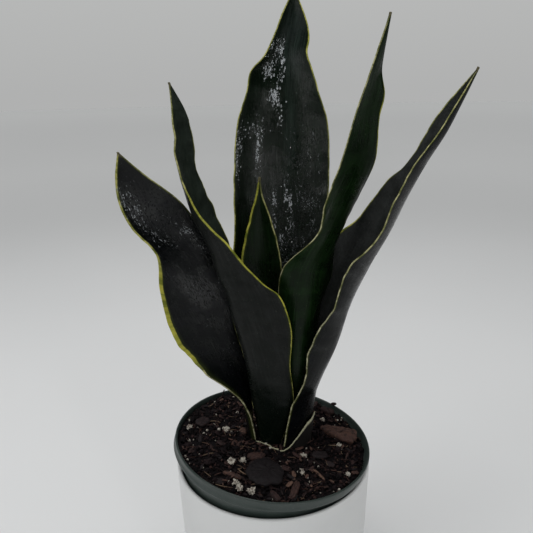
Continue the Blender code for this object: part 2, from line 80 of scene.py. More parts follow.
# Leaf stations from foot to tip: (left margin, midrib, right margin), in mm from the middle of
# the mix surface along the nursery pot's axes, as in the CAD. The last one is the tip.
LEAVES = {
    "leaf_back_tall": [
        ((-6, 12, -3), (2, 18, -3), (12, 12, -3)),
        ((-18, 12, 31), (0, 18, 30), (15, 13, 33)),
        ((-26, 13, 61), (-3, 19, 61), (18, 15, 64)),
        ((-29, 14, 88), (-5, 21, 88), (20, 16, 91)),
        ((-30.3, 16, 118), (-6, 24, 118), (19, 16, 121)),
        ((-32.6, 18, 149), (-8, 27, 148), (17, 18, 150)),
        ((-32.6, 21, 172), (-9, 30, 174), (14, 21, 175)),
        ((-29, 25.5, 190), (-11, 33, 194), (7, 25, 194)),
        ((-28, 28, 199), (-11.5, 35, 202), (3.4, 27.5, 202)),
        ((-21.8, 31, 207), (-12, 37, 210), (0.2, 30, 210)),
        ((-17, 35, 219), (-11, 39, 221), (0.7, 33, 219)),
        ((-14, 38, 229), (-10, 41, 230), (-3, 38, 230)),
        ((-9, 42, 241),),
    ],
    "leaf_new_centre": [
        ((-4, 6, -3), (0, 10, -3), (4, 7, -3)),
        ((-9, 6, 26), (-2, 10, 25), (3, 6, 27)),
        ((-14, 5, 48), (-5, 10, 47), (3, 5, 50)),
        ((-22, 3, 84), (-11, 9, 83), (-1, 3, 86)),
        ((-25, 2, 106), (-14, 7, 105), (-5, 2, 108)),
        ((-22, 3, 130), (-17, 6, 129), (-12, 2, 129)),
        ((-20, 3, 140), (-19, 4, 140), (-17, 3, 140)),
        ((-19, 3, 149),),
    ],
    "leaf_right_tall": [
        ((5, 3, -3), (10, 3, -3), (14, 8, -3)),
        ((2, 1, 25), (12, 0, 25), (16, 7, 25)),
        ((0, 0, 45), (12, -3, 48), (18, 6, 44)),
        ((-3, -1, 81), (10, -5, 83), (19, 6, 80)),
        ((-4, -4, 104), (11, -3, 106), (23, 8, 102)),
        ((11, -3, 122), (18, 0, 122), (24, 10, 118)),
        ((15, 0, 141), (25, 5, 141), (31, 13, 137)),
        ((20, 1, 160), (31, 9, 161), (39, 15, 159)),
        ((25, 4, 185), (32, 11, 187), (38.6, 15, 183)),
        ((27.3, 5, 194), (33, 11, 196), (39.4, 14.5, 193)),
        ((30, 6, 206), (34, 11, 205), (36, 14, 205)),
        ((36, 10, 230),),
    ],
    "leaf_far_right": [
        ((6, -7, -3), (17, -1, -3), (20, 11, -3)),
        ((8, -9, 27), (19, 0, 26), (21, 12, 25)),
        ((13, -11, 45), (22, 0, 42), (19, 12, 46)),
        ((14, -12, 66), (28, 1, 63), (14.5, 10, 68)),
        ((24, -12, 91), (33, 2, 87), (20, 14, 92)),
        ((28, -12, 110), (40, 3, 107), (23, 17, 116)),
        ((40, -11, 125), (47, 4, 125), (36, 16, 131)),
        ((46, -11, 144), (53, 5, 142), (46, 15, 149)),
        ((53, -9, 162), (61, 5, 163), (57, 12, 164)),
        ((64, -3, 178), (70, 5, 183), (65, 8, 185)),
        ((80, 5, 209),),
    ],
    "leaf_left_tall": [
        ((-6, 2, -3), (-3, -3, -3), (4, -3, -3)),
        ((-13, 0, 28), (-11, -7, 30), (9, -6, 28)),
        ((-19, -2, 55), (-18, -10, 57), (5, -8, 52)),
        ((-24, -3, 75), (-26, -11, 79), (3.4, -10, 74)),
        ((-28, -3, 90), (-31, -11, 93), (-4.2, -14, 93)),
        ((-29.2, -2, 98), (-35, -10.6, 101), (-13.5, -15.8, 100)),
        ((-31, 0, 111), (-40, -10, 113), (-28, -19, 115)),
        ((-42, 1, 134), (-49, -9, 131), (-48, -19, 136)),
        ((-51, 1, 153), (-56, -6, 154), (-58, -15, 156)),
        ((-53, 0, 167), (-58, -5, 167), (-60, -11, 169)),
        ((-56, -2, 177), (-59, -5, 178), (-62, -8, 179)),
        ((-64, -5, 190),),
    ],
    "leaf_left_broad": [
        ((-8, -2, -3), (-12, 4, -3), (-10, 10, -3)),
        ((-18, -7, 27), (-17, 4, 26), (-15, 8, 27)),
        ((-40, -12, 47), (-23, 3, 45), (-17, 5.5, 42)),
        ((-56, -16, 68), (-33, 0, 68), (-25, 3, 64)),
        ((-63, -18, 92), (-43, -3, 87), (-31, 1, 90)),
        ((-65, -21, 112), (-54, -7, 107), (-40, 0.5, 112)),
        ((-76, -23, 124), (-65, -11, 121), (-50, -3, 127)),
        ((-82, -24, 136), (-72, -16, 135), (-58, -11, 138)),
        ((-83, -26, 148), (-78, -21, 147), (-71, -20, 149)),
        ((-82, -26, 159),),
    ],
}

# Per leaf: inner, outer and foot colours; left and right margins as (height, width, gold) with
# the width in mm and gold from 0 (pale) to 1 (yellow); olive band widths inside the left margin as
# (height, width); and wet patches as (face, across, height, spread across, spread along,
# drops, painted glint), where the painted glint sets how milky-pale the drops are painted so that
# they show as painted highlights. tints are coloured patches, placed as the wet ones are; on
# leaf_right_tall they are painted light and shade. curls push a margin out: (side, height, reach).
INNER, OUTER = 0, 1
THIN = ((0, 0.45, 0.2), (120, 0.35, 0.4), (200, 0.35, 0.5))
LEAF_LOOKS = {
    "leaf_back_tall": dict(
        inner=(0.0036, 0.0066, 0.0038), outer=(0.0081, 0.0112, 0.0074), foot=(0.0018, 0.0060, 0.0014),
        left=((0, 0.4, 0.4), (110, 0.6, 0.7), (170, 0.5, 0.6), (235, 0.4, 0.6)),
        right=((0, 0.35, 0.4), (190, 0.4, 0.6), (212, 0.8, 0.9), (235, 0.5, 0.8)),
        olive=((0, 0.9), (240, 0.7)),
        tints=((INNER, 4, 214, 7, 16, (0.013, 0.019, 0.016)), (INNER, 4, 175, 3, 26, (0.010, 0.016, 0.012)),
               (INNER, -20, 80, 7, 40, (0.0025, 0.0080, 0.0018))),
        wet=((INNER, 9, 92, 11, 28, 1400, 0.40), (INNER, 11, 140, 8, 24, 300, 0.30),
             (INNER, 3, 130, 1.2, 11, 130, 0.9), (INNER, -4, 130, 0.9, 12, 80, 0.9),
             (INNER, 0, 112, 3, 6, 80, 0.8), (INNER, -13, 160, 1.6, 9, 120, 0.8),
             (INNER, -17, 169, 4, 2.0, 50, 0.8), (INNER, -25, 160, 1.2, 11, 90, 0.8),
             (INNER, -6, 187, 3, 4, 110, 1.0), (INNER, -2.5, 184, 0.8, 8, 70, 1.0),
             (INNER, -8.5, 199, 2.2, 4.5, 110, 1.0), (INNER, -1, 206, 1.2, 6, 90, 1.0),
             (INNER, -5, 212, 3, 5, 80, 0.7), (OUTER, 0, 120, 12, 50, 120, 0.3))),
    "leaf_new_centre": dict(
        inner=(0.0032, 0.0088, 0.0024), outer=(0.0050, 0.0087, 0.0037), foot=(0.0026, 0.0067, 0.0016),
        left=((0, 0.6, 0.4), (60, 0.9, 0.9), (118, 1.2, 1.0), (135, 0.6, 1.0)), right=THIN,
        olive=((0, 0.8), (140, 1.2)), wet=((INNER, 0, 60, 5, 20, 40, 0.4),)),
    "leaf_right_tall": dict(
        inner=(0.0036, 0.0110, 0.0026), outer=(0.0190, 0.0285, 0.0150), foot=(0.0024, 0.0062, 0.0015),
        left=((0, 0.4, 0.3), (60, 0.5, 0.3), (100, 0.5, 0.1), (230, 0.35, 0.3)),
        right=((0, 0.3, 0.3), (150, 0.4, 0.5), (172, 1.3, 1.0), (196, 1.2, 1.0), (205, 0.35, 0.5)),
        olive=((0, 0.8), (230, 0.6)),
        # On this leaf the bright green patch low on the left wing is painted light, and the dark strip up
        # the right wing is painted shade.
        tints=((OUTER, -10, 90, 6, 18, (0.030, 0.056, 0.015)), (OUTER, 8, 150, 4, 24, (0.0045, 0.0190,
                                                                                       0.0022)),
               (OUTER, 3, 78, 4, 14, (0.018, 0.027, 0.014))),
        wet=((OUTER, 4, 70, 6, 30, 120, 0.6), (OUTER, 0, 150, 5, 30, 50, 0.4))),
    "leaf_far_right": dict(
        inner=(0.0028, 0.0034, 0.0036), outer=(0.0150, 0.0165, 0.0160), foot=(0.0008, 0.0009, 0.0018),
        left=((0, 0.5, 0.1), (70, 0.6, 0.0), (120, 0.6, 0.3), (200, 0.5, 0.4)),
        right=((0, 0.3, 0.3), (100, 0.35, 0.4), (112, 1.2, 1.0), (124, 0.6, 0.6), (140, 0.4, 0.4),
               (200, 0.4, 0.4)),
        olive=((0, 0.5), (200, 0.5)), curls=((-1, 109, 1.3), (-1, 88, 1.2), (-1, 68, 1.4), (-1, 98, -0.7),
                                             (-1, 78, -0.7)),
        wet=((INNER, 3, 115, 8, 30, 420, 0.45), (OUTER, -5, 90, 5, 35, 60, 0.3))),
    "leaf_left_tall": dict(
        inner=(0.0066, 0.0074, 0.0068), outer=(0.0128, 0.0180, 0.0134), foot=(0.0009, 0.0032, 0.0016),
        left=((0, 0.35, 0.3), (60, 0.5, 0.6), (190, 0.4, 0.4)),
        right=((0, 0.5, 0.3), (60, 0.8, 0.8), (90, 1.0, 1.0), (110, 1.2, 1.0), (135, 1.0, 0.9),
               (145, 0.4, 0.4)),
        olive=((0, 0.6), (190, 0.6)),
        tints=((OUTER, 0, 1, 10, 5, (0.060, 0.066, 0.006)), (OUTER, 14, 76, 5, 7, (0.020, 0.030, 0.006)),
               (OUTER, 6, 52, 9, 14, (0.0045, 0.0100, 0.0052))),
        wet=((OUTER, 2, 95, 9, 10, 80, 0.6), (INNER, 0, 150, 5, 18, 160, 0.5))),
    "leaf_left_broad": dict(
        inner=(0.0030, 0.0034, 0.0040), outer=(0.0074, 0.0099, 0.0056), foot=(0.0009, 0.0011, 0.0018),
        left=((0, 0.5, 0.0), (42, 0.6, 0.1), (52, 2.6, 1.0), (95, 3.0, 1.0), (108, 1.2, 0.7),
              (150, 1.0, 0.7)),
        right=THIN, olive=((0, 3.2), (45, 3.0), (60, 1.2), (150, 0.8)),
        wet=((INNER, -8, 130, 4, 8, 150, 0.6), (INNER, -4, 119, 3, 5, 60, 0.5), (INNER, 0, 100, 12, 30, 160,
                                                                                 0.2),
             (INNER, 11, 118, 2, 5, 90, 0.5))),
}
LEAF_ROWS = 190
LEAF_COLUMNS = 37
TIP_GATHER = 1.15        # rows draw together towards the tip by this power
RIPPLE_FORWARD = 0.9     # waves of the margins, in mm
RIPPLE_INWARD = 0.4
SWELL = 0.5              # slow unevenness of the faces, in mm
CURL_LENGTH = 2.4        # along the margin, in mm
EDGE_REACH = 0.22        # how far the rounded edge stands out past the faces, in mm
MARGIN_SHARE = 0.75      # of the listed widths that is coloured evenly
DROP_SIDES = 5
DOME_LEVELS = ((1.0, 0.0), (0.86, 0.34), (0.5, 0.56))    # a drop of radius 1: (radius, height)
DOME_TOP = 0.62
DROP_SINK = 0.03         # in mm

SHEATH = [
    (-9.2, -4.9, 3), (-6.1, -5.5, 2.8), (-2.7, -7.2, 2.8), (1.2, -10.2, 2.8), (5, -11.9, 2.8), (7.9, -10.2,
                                                                                                3.2),
    (10.7, -8, 5.4), (14, -6.9, 10.5), (17, -5.1, 15.4), (19.6, -2.6, 18), (21.3, 0.5, 19), (22.3, 3.9, 19),
]


# ---- mesh helpers ----


def mesh_object(name, points, faces, material, attributes=None):
    """An object from points in mm (n, 3) in the row frame and equal-sized faces (m, k)."""
    points = np.asarray(points, np.float32) * MM
    faces = np.asarray(faces, np.int32)
    count, corners = faces.shape
    mesh = bpy.data.meshes.new(name)
    mesh.vertices.add(len(points))
    mesh.vertices.foreach_set("co", points.ravel())
    mesh.loops.add(count * corners)
    mesh.loops.foreach_set("vertex_index", faces.ravel())
    mesh.polygons.add(count)
    mesh.polygons.foreach_set("loop_start", np.arange(0, count * corners, corners, dtype=np.int32))
    mesh.update(calc_edges=True)
    for key, values in (attributes or {}).items():
        made = mesh.attributes.new(key, "FLOAT", "POINT")
        made.data.foreach_set("value", np.asarray(values, np.float32).ravel())
    mesh.shade_smooth()
    mesh.materials.append(material)
    mesh.validate()
    obj = bpy.data.objects.new(name, mesh)
    bpy.context.scene.collection.objects.link(obj)
    return obj


def own(obj, slot, *nodes):
    """Makes the object a piece of the part: it rides and stands for CAD nodes. The slot is not used."""
    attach(obj, BODY)
    if nodes:
        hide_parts(*nodes)


def planted(points):
    """Points in mm from the nursery rim's centre, along the pot's axes, to the row frame."""
    turn = np.array(PLANTED.to_3x3())
    return np.asarray(points, float) @ turn.T + (0, 0, RIM_HEIGHT)


def ring_faces(rings, count, close_rings=False):
    """Quads that join rings of count points, each ring closed on itself."""
    rows = np.arange(rings if close_rings else rings - 1)
    low = (rows[:, None] * count + np.arange(count)[None, :]).ravel()
    side = (rows[:, None] * count + (np.arange(count) + 1)[None, :] % count).ravel()
    step = (low + count) % (rings * count)
    far = (side + count) % (rings * count)
    return np.stack([low, side, far, step], axis=1)


def outward(points, faces):
    """The faces, turned round if the closed mesh they make is inside out."""
    a, b, c = (points[faces[:, k]] for k in (0, 1, 2))
    volume = np.einsum("ij,ij->", a, np.cross(b, c))
    if faces.shape[1] == 4:
        volume += np.einsum("ij,ij->", a, np.cross(c, points[faces[:, 3]]))
    return faces if volume > 0 else faces[:, ::-1]


def circle(radius, steps, z=0.0, centre=(0, 0)):
    """Points of a level circle, one for each step."""
    angles = [2 * pi * step / steps for step in range(steps)]
    return [(centre[0] + radius * cos(angle), centre[1] + radius * sin(angle), z) for angle in angles]


def halves(quads):
    """The quads, each cut into two triangles."""
    return np.concatenate([quads[:, [0, 1, 2]], quads[:, [0, 2, 3]]])


def fan(first, count, centre, back=False):
    """Triangles from the sides of a ring to one point. back turns them over."""
    near = first + np.arange(count)
    far = first + (np.arange(count) + 1) % count
    return np.stack([far if back else near, near if back else far, np.full(count, centre)], axis=1)


def lay_closed(name, points, faces, material, attributes, slot, node):
    """One closed piece that stands for a CAD node, placed along the nursery pot's axes in mm."""
    placed = planted(points)
    own(mesh_object(name, placed, outward(placed, faces), material, attributes), slot, node)


class Heap:
    """Many small shapes that become one piece, placed along the nursery pot's axes in mm."""

    def __init__(self):
        self.points, self.faces, self.values = [], [], {}
        self.total = 0

    def add(self, points, faces, **values):
        """Adds a shape. Each value is one number, or one for each of its points."""
        self.points.append(points)
        self.faces.append(faces + self.total)
        self.total += len(points)
        for key, value in values.items():
            self.values.setdefault(key, []).append(np.broadcast_to(value, (len(points),)))

    def lay(self, name, slot, material):
        attributes = {key: np.concatenate(parts) for key, parts in self.values.items()}
        points = planted(np.concatenate(self.points))
        own(mesh_object(name, points, np.concatenate(self.faces), material, attributes), slot)


# ---- materials ----


class Shader:
    """A Principled material, and short calls that add nodes to it."""

    def __init__(self, name):
        self.material = bpy.data.materials.new(name)
        self.material.use_nodes = True
        self.tree = self.material.node_tree
        self.main = self.tree.nodes["Principled BSDF"]

    def put(self, target, value):
        if isinstance(value, bpy.types.NodeSocket):
            self.tree.links.new(value, target)
        else:
            target.default_value = value

    def node(self, kind, settings=None, **inputs):
        made = self.tree.nodes.new("ShaderNode" + kind)
        for key, value in (settings or {}).items():
            setattr(made, key, value)
        for key, value in inputs.items():
            self.put(made.inputs[key.replace("_", " ")], value)
        return made

    def set(self, **inputs):
        for key, value in inputs.items():
            self.put(self.main.inputs[key.replace("_", " ")], value)

    def attribute(self, name):
        return self.node("Attribute", {"attribute_name": name}).outputs["Fac"]

    def place(self):
        """Object coordinates, in metres."""
        return self.node("TexCoord").outputs["Object"]

    def math(self, operation, a, b=0.0):
        made = self.node("Math", {"operation": operation})
        self.put(made.inputs[0], a)
        self.put(made.inputs[1], b)
        return made.outputs[0]

    def times(self, a, b):
        return self.math("MULTIPLY", a, b)

    def swing(self, value, size):
        """The value's distance above or below a half, times the size."""
        return self.times(self.math("SUBTRACT", value, 0.5), size)

    def vector(self, x, y, z):
        return self.node("CombineXYZ", X=x, Y=y, Z=z).outputs[0]

    def noise(self, vector, scale, detail=3.0, roughness=0.55):
        made = self.node("TexNoise", Vector=vector, Scale=scale, Detail=detail, Roughness=roughness)
        return made.outputs["Fac"]

    def cells(self, vector, scale):
        made = self.node("TexVoronoi", Vector=vector, Scale=scale)
        return made.outputs["Distance"]

    def span(self, value, low, high, to_low=0.0, to_high=1.0):
        """The value, mapped from low..high to to_low..to_high and held at the ends."""
        made = self.node("MapRange", {"interpolation_type": "SMOOTHSTEP"}, Value=value)
        limits = {"From Min": low, "From Max": high, "To Min": to_low, "To Max": to_high}
        for key, number in limits.items():
            made.inputs[key].default_value = number
        return made.outputs[0]

    def mix(self, share, a, b):
        made = self.node("Mix", {"data_type": "RGBA"})
        self.put(made.inputs[0], share)
        for socket, value in ((made.inputs[6], a), (made.inputs[7], b)):
            self.put(socket, (*value, 1) if isinstance(value, tuple) else value)
        return made.outputs[2]

    def ramp(self, value, stops):
        made = self.node("ValToRGB", Fac=value)
        ramp = made.color_ramp
        while len(ramp.elements) < len(stops):
            ramp.elements.new(0.5)
        for element, (at, colour) in zip(ramp.elements, stops):
            element.position = at
            element.color = (*colour, 1)
        return made.outputs["Color"]

    def bump(self, height, strength, distance, under=None):
        made = self.node("Bump", Height=height, Strength=strength, Distance=distance)
        if under is not None:
            self.put(made.inputs["Normal"], under)
        return made.outputs["Normal"]


def leaf_material(name, look):
    """Waxy wet leaf skin: streaks along the leaf, faint cross bands, a pale or yellow margin."""
    s = Shader(name)
    across, along = s.attribute("across"), s.attribute("along")
    outer, rim, height = s.attribute("outer"), s.attribute("rim"), s.attribute("height")
    gold, olive, to_tip = s.attribute("gold"), s.attribute("olive"), s.attribute("to_tip")
    place = s.vector(across, along, s.times(outer, 40.0))
    streaks = s.noise(s.vector(across, s.times(along, 0.035), outer), 1.5, 6.0, 0.62)
    fine = s.noise(s.vector(across, s.times(along, 0.02), outer), 5.5, 3.0)
    blotch = s.noise(place, 0.11, 5.0, 0.6)
    bloom = s.noise(place, 0.8, 5.0, 0.7)
    bands = s.noise(s.vector(s.times(across, 0.25), along, outer), 0.16, 4.0, 0.6)

    skin = s.mix(outer, look["inner"], look["outer"])
    lighter = s.mix(outer, tuple(2.6 * c for c in look["inner"]), tuple(1.7 * c for c in look["outer"]))
    skin = s.mix(s.span(streaks, 0.42, 0.75, 0.0, 0.8), skin, lighter)
    skin = s.mix(s.span(bands, 0.52, 0.68, 0.0, 0.35), skin, lighter)
    skin = s.mix(s.times(s.span(bloom, 0.42, 0.62, 0.0, 0.9), outer), skin, lighter)
    skin = s.mix(s.span(blotch, 0.35, 0.62, 0.5, 0.0), skin, (0.0015, 0.0030, 0.0015))
    skin = s.mix(s.span(height, 6.0, 62.0, 0.92, 0.0), skin, look["foot"])
    # Tint patches; on leaf_right_tall two of them are painted light and painted shade on the wings.
    for index, (*_, colour) in enumerate(look.get("tints", ())):
        dim, bright = tuple(0.6 * c for c in colour), tuple(1.5 * c for c in colour)
        skin = s.mix(s.attribute("tint_" + str(index)), skin, s.mix(s.span(streaks, 0.38, 0.68), dim,
                                                                    bright))
    wobble = s.swing(s.noise(place, 0.8, 2.0), 0.5)
    edge = s.math("ADD", rim, wobble)
    band = s.mix(s.span(fine, 0.35, 0.7), (0.020, 0.030, 0.006), (0.050, 0.060, 0.010))
    skin = s.mix(s.times(olive, s.span(fine, 0.3, 0.7, 0.45, 0.85)), skin, band)
    wear = s.noise(s.vector(0.0, along, gold), 0.16, 5.0, 0.7)
    pale = s.mix(s.span(wear, 0.38, 0.66), (0.10, 0.10, 0.045), (0.46, 0.44, 0.30))
    yellow = s.mix(s.span(wear, 0.35, 0.62), (0.12, 0.14, 0.012), (0.40, 0.38, 0.055))
    skin = s.mix(s.span(edge, -0.30, 0.05, 1.0, 0.0), skin, s.mix(gold, pale, yellow))
    skin = s.mix(s.span(to_tip, 0.6, 3.0, 0.85, 0.0), skin, (0.10, 0.085, 0.05))
    specks = s.cells(place, 0.45)
    skin = s.mix(s.span(specks, 0.05, 0.09, 0.5, 0.0), skin, (0.09, 0.095, 0.065))
    s.set(Base_Color=skin)

    wet = s.noise(place, 0.055, 4.0, 0.6)
    inner_rough = s.span(wet, 0.38, 0.62, 0.17, 0.38)
    outer_rough = s.span(bloom, 0.35, 0.65, 0.40, 0.58)
    roughness = s.node("Mix", {"data_type": "FLOAT"})
    s.put(roughness.inputs[0], outer)
    s.put(roughness.inputs[2], inner_rough)
    s.put(roughness.inputs[3], outer_rough)
    s.set(Roughness=roughness.outputs[0], Specular_IOR_Level=0.13)
    wetness = s.attribute("wetness")
    film = s.times(wetness, s.span(wet, 0.40, 0.60, 1.0, 0.45))
    s.set(Coat_Weight=film, Coat_Roughness=0.10)

    ribs = s.bump(streaks, 0.7, 0.22 * MM)
    ribs = s.bump(fine, 0.6, 0.09 * MM, ribs)
    trails = s.cells(s.vector(across, s.times(along, 0.35), outer), 1.5)
    beads = s.span(trails, 0.15, 0.5, 1.0, 0.0)
    beads = s.times(beads, s.span(bloom, 0.42, 0.56))
    beaded = s.bump(s.times(beads, wetness), 1.0, 0.30 * MM, ribs)
    s.set(Normal=beaded, Coat_Normal=beaded)
    return s.material


def water_material():
    """Water drops: clear, and the milky pale ones are painted glints that show as bright specks."""
    s = Shader("water_drops")
    uneven = s.span(s.noise(s.place(), 700.0, 2.0), 0.3, 0.6, 0.5, 1.0)
    milk = s.times(s.attribute("milk"), uneven)
    # Milky drops get a pale base colour: painted highlights that show as glints under any light.
    s.set(Base_Color=s.mix(milk, (0.72, 0.77, 0.80), (0.90, 0.94, 0.97)))
    s.set(Transmission_Weight=s.span(milk, 0.0, 1.0, 0.95, 0.52), IOR=1.4)
    s.set(Roughness=s.span(milk, 0.0, 1.0, 0.02, 0.15))
    return s.material


def crumb_material(name, stops, rough=(0.75, 1.0), bump=0.25):
    """Crumbs, bark or fibre: each bit takes its own tint from the stops."""
    s = Shader(name)
    tint = s.attribute("tint")
    place = s.place()
    grain = s.noise(place, 1400.0, 4.0, 0.65)
    shade = s.math("ADD", tint, s.swing(grain, 0.35))
    s.set(Base_Color=s.ramp(shade, stops))
    s.set(Roughness=s.span(grain, 0.35, 0.7, rough[1], rough[0]), Specular_IOR_Level=0.3)
    s.set(Normal=s.bump(s.noise(place, 2600.0, 4.0, 0.7), 0.7, bump * MM))
    return s.material


def bark_material():
    """Bark: fibres run along each flake's own length, held in the attributes."""
    s = Shader("bark_flakes")
    tint = s.attribute("tint")
    length, width = s.attribute("lengthwise"), s.attribute("widthwise")
    grain_place = s.vector(s.times(length, 0.22), width, tint)
    grain = s.noise(grain_place, 2.2, 6.0, 0.65)
    dirt = s.noise(s.place(), 420.0, 5.0, 0.65)
    wood = s.ramp(
        s.math("ADD", tint, s.swing(grain, 0.8)),
        [(0.0, (0.004, 0.003, 0.004)), (0.35, (0.011, 0.006, 0.007)),
         (0.6, (0.032, 0.013, 0.011)), (0.85, (0.075, 0.034, 0.024)), (1.0, (0.15, 0.085, 0.055))],
    )
    s.set(Base_Color=s.mix(s.span(dirt, 0.48, 0.66, 0.0, 0.75), wood, (0.004, 0.003, 0.003)))
    s.set(Roughness=s.span(grain, 0.3, 0.7, 0.62, 0.92))
    under = s.bump(grain, 0.9, 0.35 * MM)
    s.set(Normal=s.bump(dirt, 0.6, 0.15 * MM, under))
    return s.material


def perlite_material():
    """Chalky expanded grains with open pores and some dirt."""
    s = Shader("perlite_grains")
    place = s.place()
    pores = s.cells(place, 2600.0)
    dirt = s.noise(place, 700.0, 4.0, 0.6)
    clean = s.mix(s.span(pores, 0.15, 0.5), (0.17, 0.145, 0.125), (0.44, 0.41, 0.35))
    s.set(Base_Color=s.mix(s.span(dirt, 0.46, 0.62, 0.0, 0.75), clean, (0.09, 0.06, 0.05)))
    s.set(Roughness=s.span(dirt, 0.3, 0.7, 0.7, 0.95))
    s.set(Normal=s.bump(pores, 0.8, 0.25 * MM))
    return s.material


def plastic_material():
    """Soft dark green nursery plastic, faintly rippled and dusty."""
    s = Shader("nursery_plastic")
    place = s.place()
    cloudy = s.noise(place, 60.0, 4.0, 0.6)
    dust = s.noise(place, 900.0, 3.0, 0.6)
    green = s.mix(s.span(cloudy, 0.35, 0.65), (0.026, 0.037, 0.033), (0.036, 0.048, 0.043))
    s.set(Base_Color=s.mix(s.span(dust, 0.55, 0.75, 0.0, 0.35), green, (0.080, 0.088, 0.082)))
    s.set(Roughness=s.span(cloudy, 0.3, 0.7, 0.30, 0.46), Specular_IOR_Level=0.5)
    ripple = s.bump(s.noise(place, 45.0, 3.0), 0.35, 0.5 * MM)
    s.set(Normal=s.bump(dust, 0.4, 0.06 * MM, ripple))
    return s.material


def glaze_material():
    """White satin glaze: slight unevenness, fine pinholes and a breath of grey."""
    s = Shader("white_glaze")
    place = s.place()
    cloud = s.noise(place, 22.0, 4.0, 0.55)
    fine = s.noise(place, 1500.0, 3.0, 0.6)
    pinholes = s.span(s.cells(place, 330.0), 0.02, 0.05, 1.0, 0.0)
    white = s.mix(s.span(cloud, 0.35, 0.65), (0.612, 0.618, 0.616), (0.646, 0.652, 0.650))
    s.set(Base_Color=s.mix(s.times(pinholes, 0.35), white, (0.45, 0.44, 0.42)))
    s.set(Roughness=s.span(cloud, 0.35, 0.65, 0.38, 0.48))
    low = s.bump(cloud, 0.3, 0.6 * MM)
    s.set(Normal=s.bump(fine, 0.25, 0.05 * MM, low))
    return s.material


def rhizome_material():
    """Skin of the buried crown, which shows only when the pots are taken off."""
    s = Shader("rhizome_skin")
    place = s.place()
    rings = s.noise(place, 240.0, 5.0, 0.6)
    s.set(Base_Color=s.ramp(rings, [(0.3, (0.16, 0.09, 0.04)), (0.5, (0.42, 0.26, 0.11)),
                                    (0.7, (0.60, 0.45, 0.24))]))
    s.set(Roughness=s.span(rings, 0.3, 0.7, 0.6, 0.85))
    s.set(Normal=s.bump(rings, 0.6, 0.6 * MM))
    return s.material


def sheath_material():
    """Thin old leaf skin: grey-green body, pale dry edge along its top."""
    s = Shader("sheath_skin")
    to_edge, along, inside = s.attribute("to_edge"), s.attribute("along"), s.attribute("inside")
    fibre = s.noise(s.vector(s.times(along, 1.4), to_edge, 0.0), 1.3, 5.0, 0.6)
    outside = s.mix(s.span(fibre, 0.35, 0.65), (0.004, 0.004, 0.004), (0.011, 0.009, 0.008))
    hollow = s.mix(s.span(fibre, 0.35, 0.65), (0.030, 0.040, 0.006), (0.075, 0.085, 0.012))
    body = s.mix(inside, outside, hollow)
    edge = s.math("ADD", to_edge, s.swing(fibre, 0.6))
    s.set(Base_Color=s.mix(s.span(edge, 0.30, 0.75, 1.0, 0.0), body, (0.34, 0.33, 0.22)))
    s.set(Roughness=s.span(fibre, 0.3, 0.7, 0.42, 0.7), Specular_IOR_Level=0.25)
    s.set(Normal=s.bump(fibre, 0.6, 0.2 * MM))
    return s.material


# ---- leaves ----


def knots_of(points):
    """Cumulative distance along the points, from 0 to 1."""
    knots = [0.0]
    for a, b in zip(points, points[1:]):
        knots.append(knots[-1] + (b - a).length)
    return [knot / knots[-1] for knot in knots]


def along_curve(points, knots, t):
    """A smooth curve through the points, read at t, as in the CAD."""
    last = len(points) - 1
    i = max(k for k in range(last) if knots[k] <= t or k == 0)

    def slope(k):
        low, high = max(k - 1, 0), min(k + 1, last)
        return (points[high] - points[low]) / (knots[high] - knots[low])

    span = knots[i + 1] - knots[i]
    s = (t - knots[i]) / span
    m, n = slope(i) * span, slope(i + 1) * span
    return (
        points[i] * (2 * s**3 - 3 * s**2 + 1) + m * (s**3 - 2 * s**2 + s)
        + points[i + 1] * (3 * s**2 - 2 * s**3) + n * (s**3 - s**2)
    )


def curl_push(level, side, curls):
    """How far this side's curls push its margin out at this height, in mm."""
    pushes = [reach * exp(-((level - at) / CURL_LENGTH) ** 2) for way, at, reach in curls if way == side]
    return sum(pushes)


def leaf_grid(stations, seed, curls):
    """(rows, columns, 3) points of the leaf's middle surface, u per column, rib length in mm."""
    full = [station * 3 if len(station) == 1 else station for station in stations]
    rails = [[Vector(station[k]) - Vector((0, 0, MIX_DROP)) for station in full] for k in range(3)]
    knots = knots_of(rails[1])
    spread = np.sin(np.linspace(-1, 1, LEAF_COLUMNS) * pi / 2)
    grid = np.empty((LEAF_ROWS, LEAF_COLUMNS, 3))
    for row in range(LEAF_ROWS):
        t = 1 - (1 - row / (LEAF_ROWS - 1)) ** TIP_GATHER
        left, rib, right = (along_curve(rail, knots, t) for rail in rails)
        if (right - left).length < 2 * NEEDLE_HALF:
            left, right = rib - across * NEEDLE_HALF, rib + across * NEEDLE_HALF
        half = (right - left) / 2
        across = half.normalized()
        to_left, to_right = (rib - left).length, (right - rib).length
        middle = (to_left - to_right) / (to_left + to_right)
        middle = max(-MOST_OFF_CENTRE, min(MOST_OFF_CENTRE, middle))
        bow = ((left + right) / 2 - rib + half * middle) / (1 - middle * middle)
        forward = bow.normalized() if bow.length > 0.5 else Vector((0, 0, 0))
        free = min(1.0, half.length / 8) * min(1.0, row / 30)
        ripple = [noise(Vector((t * 17, side * 7, seed))) + 0.5 * noise(Vector((t * 41, side * 7, seed)))
                  for side in (-1, 1)]
        push = [curl_push(rail.z + MIX_DROP, side, curls) for side, rail in ((-1, left), (1, right))]
        for column, place in enumerate(spread):
            u = place + middle * (1 - place * place)
            point = (left + right) / 2 + half * float(u) - bow * float(1 - u * u)
            side = -1 if place < 0 else 1
            edge_share = abs(place) ** 3
            wave = ripple[side > 0] * edge_share * free
            point = point + across * (side * push[side > 0] * edge_share)
            point = point + forward * (RIPPLE_FORWARD * wave) - across * (RIPPLE_INWARD * wave)
            swell = SWELL * noise(Vector((place * 1.8, t * 10, seed + 5))) * free * (1 - abs(place) ** 4)
            grid[row, column] = point + forward * swell
    rib_line = grid[:, LEAF_COLUMNS // 2]
    lengths = np.concatenate([[0], np.cumsum(np.linalg.norm(np.diff(rib_line, axis=0), axis=1))])
    return grid, spread, lengths


